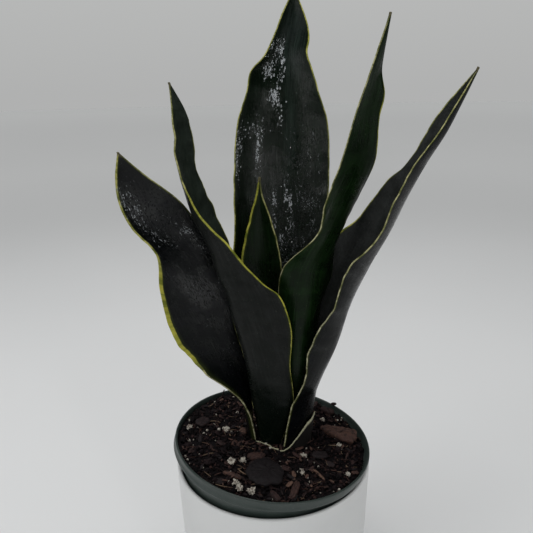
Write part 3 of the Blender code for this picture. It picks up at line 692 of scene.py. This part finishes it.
def grid_normals(grid):
    """Unit normals of the middle surface, towards the leaf's inner face."""
    across = np.gradient(grid, axis=1)
    along = np.gradient(grid, axis=0)
    normal = np.cross(across, along)
    return normal / np.maximum(np.linalg.norm(normal, axis=2, keepdims=True), 1e-9)


def ridges(across, along, seed):
    """Fine grooves along the leaf, in mm."""
    value = np.empty(across.shape)
    for index, a in np.ndenumerate(across):
        value[index] = noise(Vector((a * 0.75, along[index] * 0.012, seed)))
    return 0.07 * value


def leaf_sides(grid, normal, u, lengths, across, along, seed):
    """The inner and outer faces: thick at the rib, thin and rounded at the margins, grooved."""
    rib_thick = LEAF_THICK + (TIP_THICK - LEAF_THICK) * (lengths / lengths[-1])[:, None]
    thick = MARGIN_THICK + (rib_thick - MARGIN_THICK) * (1 - u[None, :] ** 2)
    thick = thick * (0.45 + 0.55 * np.sqrt(np.clip(1 - np.abs(u[None, :]) ** 24, 0, 1)))
    inner = grid + normal * (thick / 2 + ridges(across, along, seed))[..., None]
    outer = grid - normal * (thick / 2 + ridges(across, along, seed + 31))[..., None]
    return inner, outer


def rounded_edge(margin, beside):
    """One column of points just outside the margin."""
    out = margin - beside
    out /= np.maximum(np.linalg.norm(out, axis=1, keepdims=True), 1e-9)
    return (margin + out * EDGE_REACH)[:, None]


def away_from(patch, across, height):
    """Squared distance of each place from a patch's middle, in the patch's spreads."""
    _, at_across, at_height, spread_across, spread_along, *_ = patch
    return ((across - at_across) / spread_across) ** 2 + ((height - at_height) / spread_along) ** 2


def lay_round(on_inner, on_outer, left, right):
    """One attribute round each ring: inner face, right edge, outer face back, left edge."""
    ends = [np.broadcast_to(value, (LEAF_ROWS,))[:, None] for value in (right, left)]
    return np.concatenate([on_inner, ends[0], on_outer[:, ::-1], ends[1]], axis=1).ravel()


def leaf_attributes(look, walk, across, along, height, to_tip):
    """What leaf_material reads, for each point of the rings. walk runs in mm from the left margin."""
    level = height[:, LEAF_COLUMNS // 2]
    ending = np.clip(to_tip[:, 0] / 12, 0.3, 1)
    widths, golds = [], []
    for side in ("left", "right"):
        heights, listed_widths, listed_golds = np.array(look[side]).T
        widths.append(MARGIN_SHARE * np.interp(level, heights, listed_widths) * ending)
        golds.append(np.interp(level, heights, listed_golds))
    to_left = walk - widths[0][:, None]
    to_right = (walk[:, -1][:, None] - walk) - widths[1][:, None]
    rim = np.minimum(to_left, to_right)
    nearer_left = to_left < to_right
    gold = np.where(nearer_left, golds[0][:, None], golds[1][:, None])
    olive_widths = np.interp(level, *np.array(look["olive"]).T)[:, None]
    olive = np.clip(1 - rim / np.where(nearer_left, olive_widths, 0.6), 0, 1)
    flat = np.zeros_like(across)
    wetness = [flat, flat]
    for patch in look["wet"]:
        face = patch[0]
        near = np.exp(-0.5 * away_from(patch, across, height)) * (1 - 0.7 * face)
        wetness[face] = np.maximum(wetness[face], near)

    def all_round(values):
        return lay_round(values, values, values[:, 0], values[:, -1])

    laid = {
        "wetness": lay_round(*wetness, 0, 0),
        "across": all_round(across),
        "along": all_round(along),
        "outer": lay_round(flat, flat + 1, 0.5, 0.5),
        "rim": lay_round(rim, rim, -widths[0], -widths[1]),
        "gold": lay_round(gold, gold, *golds),
        "olive": lay_round(olive, olive, 1, 1),
        "height": all_round(height),
        "to_tip": all_round(to_tip),
    }
    for index, patch in enumerate(look.get("tints", ())):
        faces = [flat, flat]
        faces[patch[0]] = np.exp(-0.5 * away_from(patch, across, height) ** 2)
        laid["tint_" + str(index)] = lay_round(*faces, 0, 0)
    return laid


def make_leaf(name, stations, seed, water):
    look = LEAF_LOOKS[name]
    grid, u, lengths = leaf_grid(stations, seed, look.get("curls", ()))
    normal = grid_normals(grid)
    steps = np.linalg.norm(np.diff(grid, axis=1), axis=2)
    walk = np.concatenate([np.zeros((LEAF_ROWS, 1)), np.cumsum(steps, axis=1)], axis=1)
    across = walk - walk[:, LEAF_COLUMNS // 2][:, None]
    along = np.repeat(lengths[:, None], LEAF_COLUMNS, axis=1)
    height = grid[..., 2] + MIX_DROP
    inner, outer = leaf_sides(grid, normal, u, lengths, across, along, seed)
    edge_left = rounded_edge(grid[:, 0], grid[:, 1])
    edge_right = rounded_edge(grid[:, -1], grid[:, -2])
    ring = np.concatenate([inner, edge_right, outer[:, ::-1], edge_left], axis=1)

    count = ring.shape[1]
    last, tip = (LEAF_ROWS - 1) * count, LEAF_ROWS * count
    ends = [ring[-1].mean(0)[None], ring[0].mean(0)[None]]
    points = np.concatenate([ring.reshape(-1, 3), *ends])
    caps = [fan(last, count, tip), fan(0, count, tip + 1, back=True)]
    triangles = np.concatenate([halves(ring_faces(LEAF_ROWS, count)), *caps])
    attributes = leaf_attributes(look, walk, across, along, height, lengths[-1] - along)
    for key, values in attributes.items():
        attributes[key] = np.concatenate([values, [values[last], values[0]]])
    material = leaf_material(name, look)
    lay_closed(name + "_skin", points, triangles, material, attributes, "leaf", name)
    make_drops(name, (inner, outer), normal, across, height, look["wet"], seed, water)


def drop_dome():
    """Points and triangles of a flattened dome of radius 1."""
    dome = [point for radius, height in DOME_LEVELS for point in circle(radius, DROP_SIDES, height)]
    walls = halves(ring_faces(len(DOME_LEVELS), DROP_SIDES))
    top = fan(len(dome) - DROP_SIDES, DROP_SIDES, len(dome))
    return np.array(dome + [(0, 0, DOME_TOP)]), np.concatenate([walls, top])


def make_drops(name, faces_of_leaf, normal, across, height, patches, seed, water):
    """Small water drops in patches on the leaf: flattened domes of many sizes."""
    rng = np.random.default_rng(100 + seed)
    dome, triangles = drop_dome()
    drops = Heap()
    rows, columns = (index.ravel() for index in np.mgrid[12:LEAF_ROWS - 8, 2:LEAF_COLUMNS - 2])
    clumps = np.array([noise(Vector((c * 0.5, r * 0.11, seed))) for r, c in zip(rows, columns)])
    crowding = (height[rows, columns] > 14) * np.clip(0.35 + 1.6 * clumps, 0.02, 1)
    for patch in patches:
        # The last number of a wet patch is its painted glint: how milky-pale its drops are painted, in
        # place of real glints.
        face, *_, count, milk = patch
        surface, way = faces_of_leaf[face], 1 - 2 * face
        chance = np.exp(-away_from(patch, across[rows, columns], height[rows, columns])) * crowding
        for pick in rng.choice(len(rows), size=count, p=chance / chance.sum()):
            row, column = rows[pick], columns[pick]
            shift = rng.uniform(0, 1, 2)
            base = surface[row, column]
            up = normal[row, column] * way
            fore = surface[row + 1, column] - base
            base = base + (surface[row, column + 1] - base) * shift[0] + fore * shift[1]
            fore = fore / np.linalg.norm(fore)
            side = np.cross(fore, up)
            radius = (0.11 + 0.24 * rng.random() ** 3) * (1 + 0.25 * milk)
            local = dome * (radius, radius * (1 + 2.2 * rng.random() ** 2), radius * rng.uniform(0.7, 1.0))
            local = base + local[:, :1] * side + local[:, 1:2] * fore + (local[:, 2:] - DROP_SINK) * up
            drops.add(local, triangles, milk=milk * rng.uniform(0.6, 1.0))
    drops.lay(name + "_drops", "leaf", water)


def make_sheath():
    """A thin torn collar that stands in the mix and flares a little towards its top edge."""
    edge = [Vector(point) for point in SHEATH]
    knots = knots_of(edge)
    steps, levels, depth, unrolled = 150, 12, 3, 60    # depth and unrolled length in mm
    rings, lengths = [], []
    for step in range(steps):
        t = step / (steps - 1)
        point = along_curve(edge, knots, t)
        ahead = along_curve(edge, knots, min(t + 0.01, 1)) - along_curve(edge, knots, max(t - 0.01, 0))
        side = Vector((ahead.y, -ahead.x, 0)).normalized()
        torn = 0.5 * noise(Vector((t * 30, 0, 2))) + 0.3 * noise(Vector((t * 90, 0, 4)))
        top = point.z + torn * 0.9
        ring = []
        for flip in (-1, 1):
            order = range(levels) if flip < 0 else reversed(range(levels))
            for level in order:
                share = level / (levels - 1)
                z = -depth + (top + depth) * share
                flare = 0.5 * share**3 + 0.25 * noise(Vector((t * 12, share * 2, 6)))
                thick = 0.42 * (1 - 0.5 * share)
                place = point + side * (flare + flip * thick)
                ring.append((place.x, place.y, z - MIX_DROP))
        rings.append(ring)
        lengths.append(t * unrolled)
    ring = np.array(rings)
    count = ring.shape[1]
    to_edge = np.concatenate([np.linspace(5, 0, levels), np.linspace(0, 5, levels)])
    attributes = {
        "to_edge": np.tile(to_edge, steps), "along": np.repeat(lengths, count),
        "inside": np.tile(np.repeat((1, 0), levels), steps),
    }
    faces = ring_faces(steps, count)
    caps = []
    for start in (0, (steps - 1) * count):
        for level in range(levels - 1):
            across_from = start + count - 1 - level
            caps.append((start + level, start + level + 1, across_from - 1, across_from))
    caps = np.array(caps)
    caps[: levels - 1] = caps[: levels - 1, ::-1]
    faces = np.concatenate([faces, caps])
    lay_closed("basal_sheath_skin", ring.reshape(-1, 3), faces, sheath_material(), attributes,
               "sheath", "basal_sheath")


# ---- pots ----

NEAR_AXIS = 0.05    # where a turned profile stops beside the axis, in mm


def turned(name, profile, steps, material, place=None, wobble=None):
    """A closed profile of (radius, height) in mm, turned about the vertical and then placed."""
    profile = np.array(profile, float)
    angles = np.arange(steps) * 2 * pi / steps
    points = np.empty((steps, len(profile), 3))
    for i, angle in enumerate(angles):
        radius = profile[:, 0]
        if wobble is not None:
            radius = radius + wobble(angle, profile[:, 1]) * (radius > 1)
        points[i, :, 0] = radius * cos(angle)
        points[i, :, 1] = radius * sin(angle)
        points[i, :, 2] = profile[:, 1]
    points = points.reshape(-1, 3)
    if place is not None:
        points = place(points)
    faces = ring_faces(steps, len(profile), close_rings=True)
    return mesh_object(name, points, outward(points, faces), material)


def arc(centre, radius, start, end, steps):
    """Points of an arc in (radius, height), from angle start to end in degrees."""
    points = []
    for step in range(steps + 1):
        angle = radians(start + (end - start) * step / steps)
        points.append((centre[0] + radius * cos(angle), centre[1] + radius * sin(angle)))
    return points


def make_cover_pot():
    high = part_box("cover_pot")[1]
    outer, height = high.x / MM, high.z / MM
    inner, edge = outer - COVER_WALL, COVER_WALL / 2
    floor, foot, rise = COVER_FLOOR, COVER_FOOT_ROUND, height - edge
    corner = floor + foot

    def tapered(radius, z):
        """The radius at height z of a wall that has this radius at the mouth."""
        return radius - COVER_TAPER * (rise - z)

    profile = [(NEAR_AXIS, 0.0), (20, 0.0), (38, 0.0)]
    profile += arc((tapered(outer, foot) - foot, foot), foot, -90, 0, 8)
    profile += [(tapered(outer, z), z) for z in (foot + (rise - foot) * k / 6 for k in range(1, 6))]
    profile += arc((outer - edge, rise), edge, 0, 180, 10)
    profile += [(tapered(inner, z), z) for z in (corner + (rise - corner) * k / 5 for k in range(4, 0, -1))]
    profile += arc((tapered(inner, corner) - foot, corner), foot, 0, -90, 6)
    profile += [(30, floor), (NEAR_AXIS, floor)]
    own(turned("cover_pot_shell", profile, 220, glaze_material()), "glazed_white", "cover_pot")


def wall_radius(depth):
    """Outer radius of the nursery pot's wall at this depth below the rim."""
    return RIM_RADIUS - LIP_STEP - depth * POT_TAPER


def cut_drains(pot, reach):
    """Cuts the round drain holes through the pot's floor, this far from its axis."""
    steps, past = 24, 2
    for index in range(DRAIN_COUNT):
        angle = pi / 4 + 2 * pi * index / DRAIN_COUNT
        centre = (reach * cos(angle), reach * sin(angle))
        below, above = -POT_DEPTH - past, -POT_DEPTH + POT_FLOOR + past
        hole = circle(DRAIN_RADIUS, steps, below, centre) + circle(DRAIN_RADIUS, steps, above, centre)
        mesh = bpy.data.meshes.new("drain_cutter")
        sides = [tuple(face) for face in ring_faces(2, steps)]
        ends = [tuple(reversed(range(steps))), tuple(range(steps, 2 * steps))]
        mesh.from_pydata([tuple(point * MM) for point in planted(hole)], [], sides + ends)
        cutter = bpy.data.objects.new("drain_cutter", mesh)
        bpy.context.scene.collection.objects.link(cutter)
        cut = pot.modifiers.new("drain", "BOOLEAN")
        cut.object = cutter
        cut.operation = "DIFFERENCE"
        cut.solver = "EXACT"
        with bpy.context.temp_override(object=pot, active_object=pot):
            bpy.ops.object.modifier_apply(modifier=cut.name)
        bpy.data.objects.remove(cutter)


def make_nursery_pot():
    """The thin pot, with a rolled lip, a step below it and four drain holes."""
    inside_lip = wall_radius(LIP_DEPTH) - POT_WALL
    bottom = wall_radius(POT_DEPTH)
    profile = [(RIM_RADIUS - POT_WALL, -0.6)]
    profile += arc((RIM_RADIUS - POT_WALL / 2, -0.6), POT_WALL / 2, 180, 0, 8)
    lip = ((0, -1.4), (0.1, -2.6), (0.25, -3.8), (0.5, -4.6), (1.2, -5.0))
    profile += [(RIM_RADIUS - step_in, z) for step_in, z in lip]
    profile += [(wall_radius(LIP_DEPTH) + 0.2, -5.3)]
    profile += [(wall_radius(d), -d) for d in (6, 8, 11, 16, 24, 36, 52, 70, 86, 94)]
    profile += arc((bottom - 1.2, -POT_DEPTH + 1.2), 1.2, -10, -90, 5)
    profile += [(bottom * 0.6, -POT_DEPTH), (NEAR_AXIS, -POT_DEPTH), (NEAR_AXIS, -POT_DEPTH + POT_FLOOR)]
    profile += [(bottom - POT_WALL - 1, -POT_DEPTH + POT_FLOOR)]
    profile += [(wall_radius(d) - POT_WALL, -d) for d in (92, 70, 45, 24, 12, 7.5)]
    profile += [(inside_lip + 0.4, -5.6)]
    profile += [(RIM_RADIUS - POT_WALL - step_in, z) for step_in, z in ((0.5, -3.8), (0.1, -2.0))]

    def soft(angle, depth):
        """The soft wall is a little out of round near the rim."""
        near_rim = np.clip(1 + depth / 30, 0, 1)
        uneven = near_rim * (0.20 * noise(Vector((cos(angle) * 2, sin(angle) * 2, 3))) - 0.08)
        clear_side = np.clip((0.75 - cos(angle)) / 0.8, 0, 1)
        under_lip = np.clip(-(depth + 3.2) / 1.8, 0, 1) * np.clip(1 + (depth + 5.2) / 8, 0, 1)
        return uneven + 1.5 * clear_side * under_lip * (depth > -20)

    pot = turned("nursery_pot_shell", profile, 240, plastic_material(), planted, soft)
    cut_drains(pot, bottom - POT_WALL - 1.6 * DRAIN_RADIUS)
    own(pot, "nursery_plastic", "nursery_pot")


# ---- potting mix ----


def mix_radius():
    return RIM_RADIUS - POT_WALL - 0.5


def mix_top(x, y):
    """Height of the mix from the rim's centre, in mm."""
    share = min((x * x + y * y) / mix_radius() ** 2, 1)
    lumps = 0.9 * fractal(Vector((x * 0.13, y * 0.13, 7)), 1.0, 2.0, 4)
    banked = (0.9 * y - 0.7 * x) / mix_radius()
    return -MIX_DROP + MIX_MOUND * (1 - share) + lumps + banked


def make_mix_body(material):
    """One closed block: lumpy top, sides down the nursery pot's wall."""
    rings, steps = 70, 220
    top = []
    for ring in range(1, rings + 1):
        for x, y, _ in circle(mix_radius() * ring / rings, steps):
            fine = 0.5 * noise(Vector((x * 0.9, y * 0.9, 1)))
            top.append((x, y, mix_top(x, y) + fine - 0.5))
    floor = -POT_DEPTH + POT_FLOOR + 0.3
    below = [(LIP_DEPTH + 0.3, wall_radius(LIP_DEPTH) - POT_WALL + 0.2)]
    below += [(depth, wall_radius(depth) - POT_WALL - 0.4) for depth in (9, 20, 45, 70, -floor - 2)]
    below.append((-floor, wall_radius(-floor) - POT_WALL - 2))
    for depth, radius in below:
        top += circle(radius, steps, -depth)
    top += [(0, 0, mix_top(0, 0)), (0, 0, floor)]
    points = np.array(top)
    total = rings + len(below)
    centre = total * steps
    caps = [fan(0, steps, centre, back=True), fan(centre - steps, steps, centre + 1)]
    triangles = np.concatenate([halves(ring_faces(total, steps)), *caps])
    tint = 0.25 + 0.25 * np.array([noise(Vector((p[0] * 0.5, p[1] * 0.5, 9))) for p in points])
    lay_closed("mix_body", points, triangles, material, {"tint": tint}, "potting_mix", "potting_mix")


def icosphere(subdivisions):
    """Points and triangles of a ball of radius 1."""
    built = bmesh.new()
    bmesh.ops.create_icosphere(built, subdivisions=subdivisions, radius=1)
    points = np.array([vert.co[:] for vert in built.verts])
    faces = np.array([[vert.index for vert in face.verts] for face in built.faces])
    built.free()
    return points, faces


def lump_shapes(count, subdivisions, rough, seed):
    """Irregular lumps of radius about 1."""
    points, faces = icosphere(subdivisions)
    shapes = []
    for index in range(count):
        where = Vector((index * 7.1, seed, 0))
        scale = [1 + rough * fractal(Vector(p * 1.3) + where, 0.8, 2.1, 3) for p in points]
        shapes.append(points * np.array(scale)[:, None])
    return shapes, faces


def random_turn(rng):
    """A random rotation matrix, from a random quaternion."""
    q = rng.normal(size=4)
    w, x, y, z = q / np.linalg.norm(q)
    return np.array([
        [1 - 2 * (y * y + z * z), 2 * (x * y - z * w), 2 * (x * z + y * w)],
        [2 * (x * y + z * w), 1 - 2 * (x * x + z * z), 2 * (y * z - x * w)],
        [2 * (x * z - y * w), 2 * (y * z + x * w), 1 - 2 * (x * x + y * y)],
    ])


def spot_on_mix(rng, reach):
    """A random place on the mix, at least reach from the pot's wall."""
    radius = (mix_radius() - reach) * rng.random() ** 0.5
    angle = rng.uniform(0, 2 * pi)
    return radius * cos(angle), radius * sin(angle)


def scatter(name, count, lumps, sizes, squash, tints, sink, material, seed, slot="potting_mix"):
    """Many lumps on the mix, as one piece. sizes is (least, most, bias towards the least)."""
    rng = np.random.default_rng(seed)
    heap = Heap()
    shapes, faces = lumps
    least, most, bias = sizes
    for index in range(count):
        radius = least + (most - least) * rng.random() ** bias
        x, y = spot_on_mix(rng, radius * 1.3)
        shape = shapes[index % len(shapes)] * (1, rng.uniform(*squash), rng.uniform(*squash)) * radius
        shape = shape @ random_turn(rng).T
        centre = (x, y, mix_top(x, y) + radius * rng.uniform(*sink))
        heap.add(shape + centre, faces, tint=rng.uniform(*tints))
    heap.lay(name, slot, material)


def scatter_fibres(name, count, material, seed):
    """Bent peat fibres and root hairs lying on the mix."""
    rng = np.random.default_rng(seed)
    sides, joints = 5, 6
    faces = ring_faces(joints, sides)
    heap = Heap()
    for _ in range(count):
        length = rng.uniform(1.8, 3.5) + 6.0 * rng.random() ** 4
        thick = rng.uniform(0.10, 0.20) + 0.22 * rng.random() ** 3
        x, y = spot_on_mix(rng, length / 2 + 0.5)
        turn, bend = rng.uniform(0, 2 * pi), rng.uniform(-0.8, 0.8)
        lift = rng.uniform(0.1, 1.2)
        rise = rng.uniform(-0.25, 0.25)
        rows = []
        for joint in range(joints):
            along = (joint / (joints - 1) - 0.5) * length
            heading = turn + bend * along / length
            centre = np.array([x + along * cos(heading), y + along * sin(heading), 0.0])
            centre[2] = mix_top(x, y) + lift + rise * along
            side = np.array([-sin(heading), cos(heading), 0.0])
            taper = thick * (1 - 0.6 * abs(along / length) ** 2 * 2)
            for k in range(sides):
                angle = 2 * pi * k / sides
                rows.append(centre + side * cos(angle) * taper + np.array([0, 0, sin(angle) * taper]))
        heap.add(np.array(rows), faces, tint=rng.uniform(0.2, 1.0))
    heap.lay(name, "bark", material)


# Bark pieces: (node, (x, y), length, width, thickness in mm, turn in degrees, tint, roundness)
BARK = [
    ("bark_chip_round", (-4, -31), 20, 20, 4.0, 10, 0.12, 0.9),
    ("bark_slab_right", (39, 9), 22, 10, 4.0, -20, 0.80, 0.2),
    ("bark_chip_front", (-9, -18), 10, 5, 2.4, 12, 0.66, 0.2),
    ("bark_stick_front", (11, -41), 13, 3.6, 3.0, 75, 0.68, 0.3),
    ("bark_stick_rim", (1, -47), 8, 3.2, 2.6, 120, 0.55, 0.3),
    ("bark_stick_left", (-21, -34), 11, 2.4, 2.0, -22, 0.80, 0.3),
    ("bark_chip_left", (-41, 10), 9, 7, 2.4, 40, 0.40, 0.5),
    ("bark_chip_back", (35, 34), 9, 5, 3.0, -30, 0.5, 0.4),
    ("bark_chip_dark", (26, -12), 9, 6, 2.2, 5, 0.30, 0.5),
    ("twig_right", (24, -27), 10, 1.4, 1.2, -55, 0.95, 0.3),
]
WEDGE = {"bark_slab_right": 0.45}    # how much wider the far end is than the middle
SMALL_FLAKES = 230
# A root hair standing at the back and a crumb caught on the rim: (x, y, height, length, width, tilt)
STRAYS = ((-31, 40, 0.5, 7.0, 0.8, 80), (39.2, 37.2, 0.5, 3.6, 2.2, 8))
# Perlite grains: ((x, y), diameter) in mm
PERLITE = [
    ((-22, -24), 3.6), ((-16, -22), 2.8), ((-17, -43), 3.4), ((-11, -45), 3.4),
    ((15, -28), 3.2), ((17, -14), 2.6), ((38, -2), 2.4), ((40, -26), 2.4),
    ((-48, 5), 3.0), ((-27, 4), 3.2), ((31, 23), 2.4), ((-19, -39), 2.8),
]


def flake(length, width, thick, roundness, seed, steps=56, layers=12, wedge=0.0):
    """A weathered flake lying flat: (points, faces, lengthwise, widthwise)."""
    points = []
    for layer in range(layers + 1):
        polar = pi * layer / layers
        level, reach = -cos(polar), max(sin(polar), 0.02) ** 0.35
        for step in range(steps):
            angle = 2 * pi * step / steps
            square = (abs(cos(angle)) ** 4 + abs(sin(angle)) ** 4) ** -0.25
            outline = square * (1 - roundness) + roundness
            ragged = 1 + 0.13 * fractal(Vector((cos(angle) * 1.6, sin(angle) * 1.6, seed)), 0.7, 2.2, 4)
            x = cos(angle) * outline * ragged * reach * length / 2
            y = sin(angle) * outline * ragged * reach * width / 2 * (1 + wedge * 2 * x / length)
            swell = 0.22 * fractal(Vector((x * 0.35, y * 1.1, seed + 3)), 0.8, 2.0, 4)
            points.append((x, y, (level * 0.5 + swell + 0.5) * thick))
    points = np.array(points)
    corners = np.arange(1, steps - 1)
    last = layers * steps
    under = np.stack([np.zeros_like(corners), corners + 1, corners], axis=1)
    over = np.stack([np.full_like(corners, last), last + corners, last + corners + 1], axis=1)
    return points, np.concatenate([halves(ring_faces(layers + 1, steps)), under, over])


def make_bark(material):
    """The pieces of bark and the twig that are nodes of the CAD."""
    for seed, (name, (x, y), length, width, thick, turn, tint, roundness) in enumerate(BARK):
        points, faces = flake(length, width, thick, roundness, seed, wedge=WEDGE.get(name, 0.0))
        c, s = cos(radians(turn)), sin(radians(turn))
        turned_points = points @ np.array([[c, s, 0], [-s, c, 0], [0, 0, 1]])
        points_there = turned_points + (x, y, mix_top(x, y) - 0.2)
        attributes = {
            "tint": np.full(len(points), tint),
            "lengthwise": points[:, 0], "widthwise": points[:, 1] + seed * 40,
        }
        lay_closed(name + "_piece", points_there, faces, material, attributes, "bark", name)


def make_small_flakes(material):
    """Small flakes all over the mix and the two strays, as one piece."""
    rng = np.random.default_rng(41)
    heap = Heap()
    for index in range(SMALL_FLAKES):
        length = rng.uniform(1.6, 3.6) + 4.0 * rng.random() ** 4
        width = length * rng.uniform(0.25, 0.7)
        shape, faces = flake(length, width, rng.uniform(0.4, 1.0), 0.4, 50 + index, 14, 5)
        turn = Matrix.Rotation(rng.uniform(0, 2 * pi), 3, "Z")
        turn = turn @ Matrix.Rotation(rng.uniform(-0.6, 0.6), 3, "X")
        turn = turn @ Matrix.Rotation(rng.uniform(-0.4, 0.4), 3, "Y")
        x, y = spot_on_mix(rng, length * 0.6)
        place = (x, y, mix_top(x, y) + rng.uniform(0.0, 0.8))
        heap.add(shape @ np.array(turn).T + place, faces, tint=rng.uniform(0.15, 0.92),
                 lengthwise=shape[:, 0], widthwise=shape[:, 1] + index * 11)
    for index, (x, y, z, length, width, tilt) in enumerate(STRAYS):
        shape, faces = flake(length, width, min(width, 1.3), 0.4, 400 + index, 14, 5)
        turn = np.array(Matrix.Rotation(radians(tilt), 3, "Y"))
        heap.add(shape @ turn + (x, y, z), faces, tint=0.45,
                 lengthwise=shape[:, 0], widthwise=shape[:, 1] - index * 11)
    heap.lay("bark_small_flakes", "bark", material)


def make_perlite():
    material = perlite_material()
    shapes, faces = lump_shapes(len(PERLITE), 4, 0.8, 5)
    for index, ((x, y), diameter) in enumerate(PERLITE):
        points = shapes[index] * diameter / 2 * (1, 1, 0.85)
        points = points + (x, y, mix_top(x, y) + diameter * 0.38)
        node = "perlite_" + str(index + 1).zfill(2)
        lay_closed(node + "_grain", points, faces, material, None, "perlite", node)
    scatter("perlite_small", 120, lump_shapes(8, 2, 0.35, 6), sizes=(0.30, 1.10, 2.2), squash=(0.7, 1.0),
            tints=(0, 1), sink=(0.1, 0.8), material=material, seed=77, slot="perlite")


def make_mix():
    peat = [(0.0, (0.0020, 0.0014, 0.0018)), (0.40, (0.0045, 0.0026, 0.0034)),
            (0.66, (0.011, 0.0055, 0.0065)),
            (0.88, (0.030, 0.013, 0.012)), (1.0, (0.065, 0.035, 0.028))]
    material = crumb_material("peat_crumbs", peat)
    make_mix_body(material)
    scatter("mix_crumbs_fine", 3600, lump_shapes(10, 2, 0.55, 1), sizes=(0.30, 0.95, 1.6),
            squash=(0.5, 1.0),
            tints=(0.0, 0.95), sink=(-0.3, 0.9), material=material, seed=11)
    scatter("mix_crumbs_coarse", 420, lump_shapes(10, 3, 0.6, 2), sizes=(0.9, 2.0, 2.0), squash=(0.45, 0.9),
            tints=(0.0, 0.7), sink=(-0.3, 0.5), material=material, seed=12)
    fibre = crumb_material(
        "peat_fibres", [(0.0, (0.006, 0.004, 0.004)), (0.6, (0.022, 0.010, 0.009)),
                        (0.85, (0.060, 0.028, 0.020)),
                        (1.0, (0.17, 0.12, 0.075))], (0.6, 0.9), 0.1)
    scatter_fibres("mix_fibres", 620, fibre, 13)


# ---- stage ----


FLOOR_SIDES = 96
FLOOR_RINGS = (300, 900, 3000, 12000)    # radii in mm
# The floor's tone changes with distance from the pot: (from, to) in metres, and the tone beyond
FLOOR_TONES = (
    ((0.35, 1.3), (0.630, 0.634, 0.637)),
    ((0.9, 2.2), (0.716, 0.720, 0.722)),
    ((4.0, 9.0), (0.758, 0.764, 0.764)),
)
# Greys of the sky, by height above the horizon
SKY_LOW, SKY_HIGH = (0.0, 0.435), (0.85, 0.66)
NEAR_HORIZON, NEAR_HORIZON_TONE = 0.14, (0.470, 0.476, 0.472, 1)
# Softboxes: (name, place, target, (width, height), watts), in metres
SOFTBOXES = (
    ("key_above", (-0.15, 0.0, 0.95), (0, 0.02, 0), (0.5, 0.5), 2.2),
    ("window_right", (0.85, -1.45, 0.42), (0, 0, 0.22), (0.16, 0.45), 2.6),
    ("window_left", (-1.50, -0.90, 0.75), (0, 0, 0.2), (0.70, 0.90), 5.5),
)
# The photograph's view: close, a little above the leaves' middle, tipped down
CAMERA_BACK = 275.7             # in mm, in front of the pot's axis
CAMERA_OVER_RIM = 187.9         # in mm
CAMERA_PITCH, CAMERA_YAW, CAMERA_ROLL = radians(17.48), radians(-0.35), radians(-1.12)
CAMERA_SENSOR, CAMERA_LENS = 36, 37.8236


def make_floor():
    s = Shader("pale_floor")
    cloud = s.noise(s.place(), 3.0, 3.0)
    away = s.node("VectorMath", {"operation": "LENGTH"}, Vector=s.place()).outputs["Value"]
    tone = s.mix(s.span(cloud, 0.3, 0.7), (0.72, 0.725, 0.73), (0.73, 0.735, 0.74))
    for (near, far), beyond in FLOOR_TONES:
        tone = s.mix(s.span(away, near, far), tone, beyond)
    s.set(Base_Color=tone, Roughness=s.span(cloud, 0.3, 0.7, 0.85, 0.95))
    points = [point for radius in FLOOR_RINGS for point in circle(radius, FLOOR_SIDES)]
    cap = fan(0, FLOOR_SIDES, len(points), back=True)
    faces = np.concatenate([halves(ring_faces(len(FLOOR_RINGS), FLOOR_SIDES)), cap])
    mesh_object("pale_floor", np.array(points + [(0, 0, 0)]), faces[:, ::-1], s.material)


def make_sky():
    world = bpy.data.worlds.new("soft_studio")
    world.use_nodes = True
    world.cycles_visibility.glossy = False    # reflections come from the softboxes and the floor
    bpy.context.scene.world = world
    tree = world.node_tree
    sky = tree.nodes.new("ShaderNodeValToRGB")
    up = tree.nodes.new("ShaderNodeSeparateXYZ")
    tree.links.new(tree.nodes.new("ShaderNodeTexCoord").outputs["Generated"], up.inputs[0])
    tree.links.new(up.outputs["Z"], sky.inputs["Fac"])
    tree.links.new(sky.outputs["Color"], tree.nodes["Background"].inputs["Color"])
    for element, (at, grey) in zip(sky.color_ramp.elements, (SKY_LOW, SKY_HIGH)):
        element.position = at
        element.color = (grey, 1.008 * grey, 1.004 * grey, 1)
    sky.color_ramp.elements.new(NEAR_HORIZON).color = NEAR_HORIZON_TONE


def make_softboxes():
    for name, place, target, (width, height), watts in SOFTBOXES:
        light = bpy.data.lights.new(name, "AREA")
        light.shape = "RECTANGLE"
        light.size = width
        light.size_y = height
        light.energy = watts
        obj = bpy.data.objects.new(name, light)
        bpy.context.scene.collection.objects.link(obj)
        obj.location = place
        obj.rotation_euler = (Vector(target) - Vector(place)).to_track_quat("-Z", "Y").to_euler()


def make_camera():
    pitch, yaw, roll = CAMERA_PITCH, CAMERA_YAW, CAMERA_ROLL
    place = Vector((0, -CAMERA_BACK, RIM_HEIGHT + CAMERA_OVER_RIM)) * MM
    ahead = Vector((sin(yaw) * cos(pitch), cos(yaw) * cos(pitch), -sin(pitch)))
    level = Vector((cos(yaw), -sin(yaw), 0))
    above = level.cross(ahead)
    right = level * cos(roll) + above * sin(roll)
    up = above * cos(roll) - level * sin(roll)
    data = bpy.data.cameras.new("camera")
    data.sensor_width = CAMERA_SENSOR
    data.lens = CAMERA_LENS
    data.clip_start = 0.01
    camera = bpy.data.objects.new("camera", data)
    bpy.context.scene.collection.objects.link(camera)
    turn = Matrix((right, up, -ahead)).transposed()
    camera.matrix_world = Matrix.Translation(place) @ turn.to_4x4()
    bpy.context.scene.camera = camera


# ---- all of it ----

make_camera()
make_floor()
make_sky()
make_softboxes()
make_cover_pot()
make_nursery_pot()
make_mix()
bark = bark_material()
make_bark(bark)
make_small_flakes(bark)
make_perlite()
water = water_material()
for seed, (leaf_name, leaf_stations) in enumerate(LEAVES.items()):
    make_leaf(leaf_name, leaf_stations, seed * 3 + 1, water)
make_sheath()
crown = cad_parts["rhizome_crown"]
crown.data.materials.clear()
crown.data.materials.append(rhizome_material())
bpy.context.scene.view_settings.view_transform = "Standard"
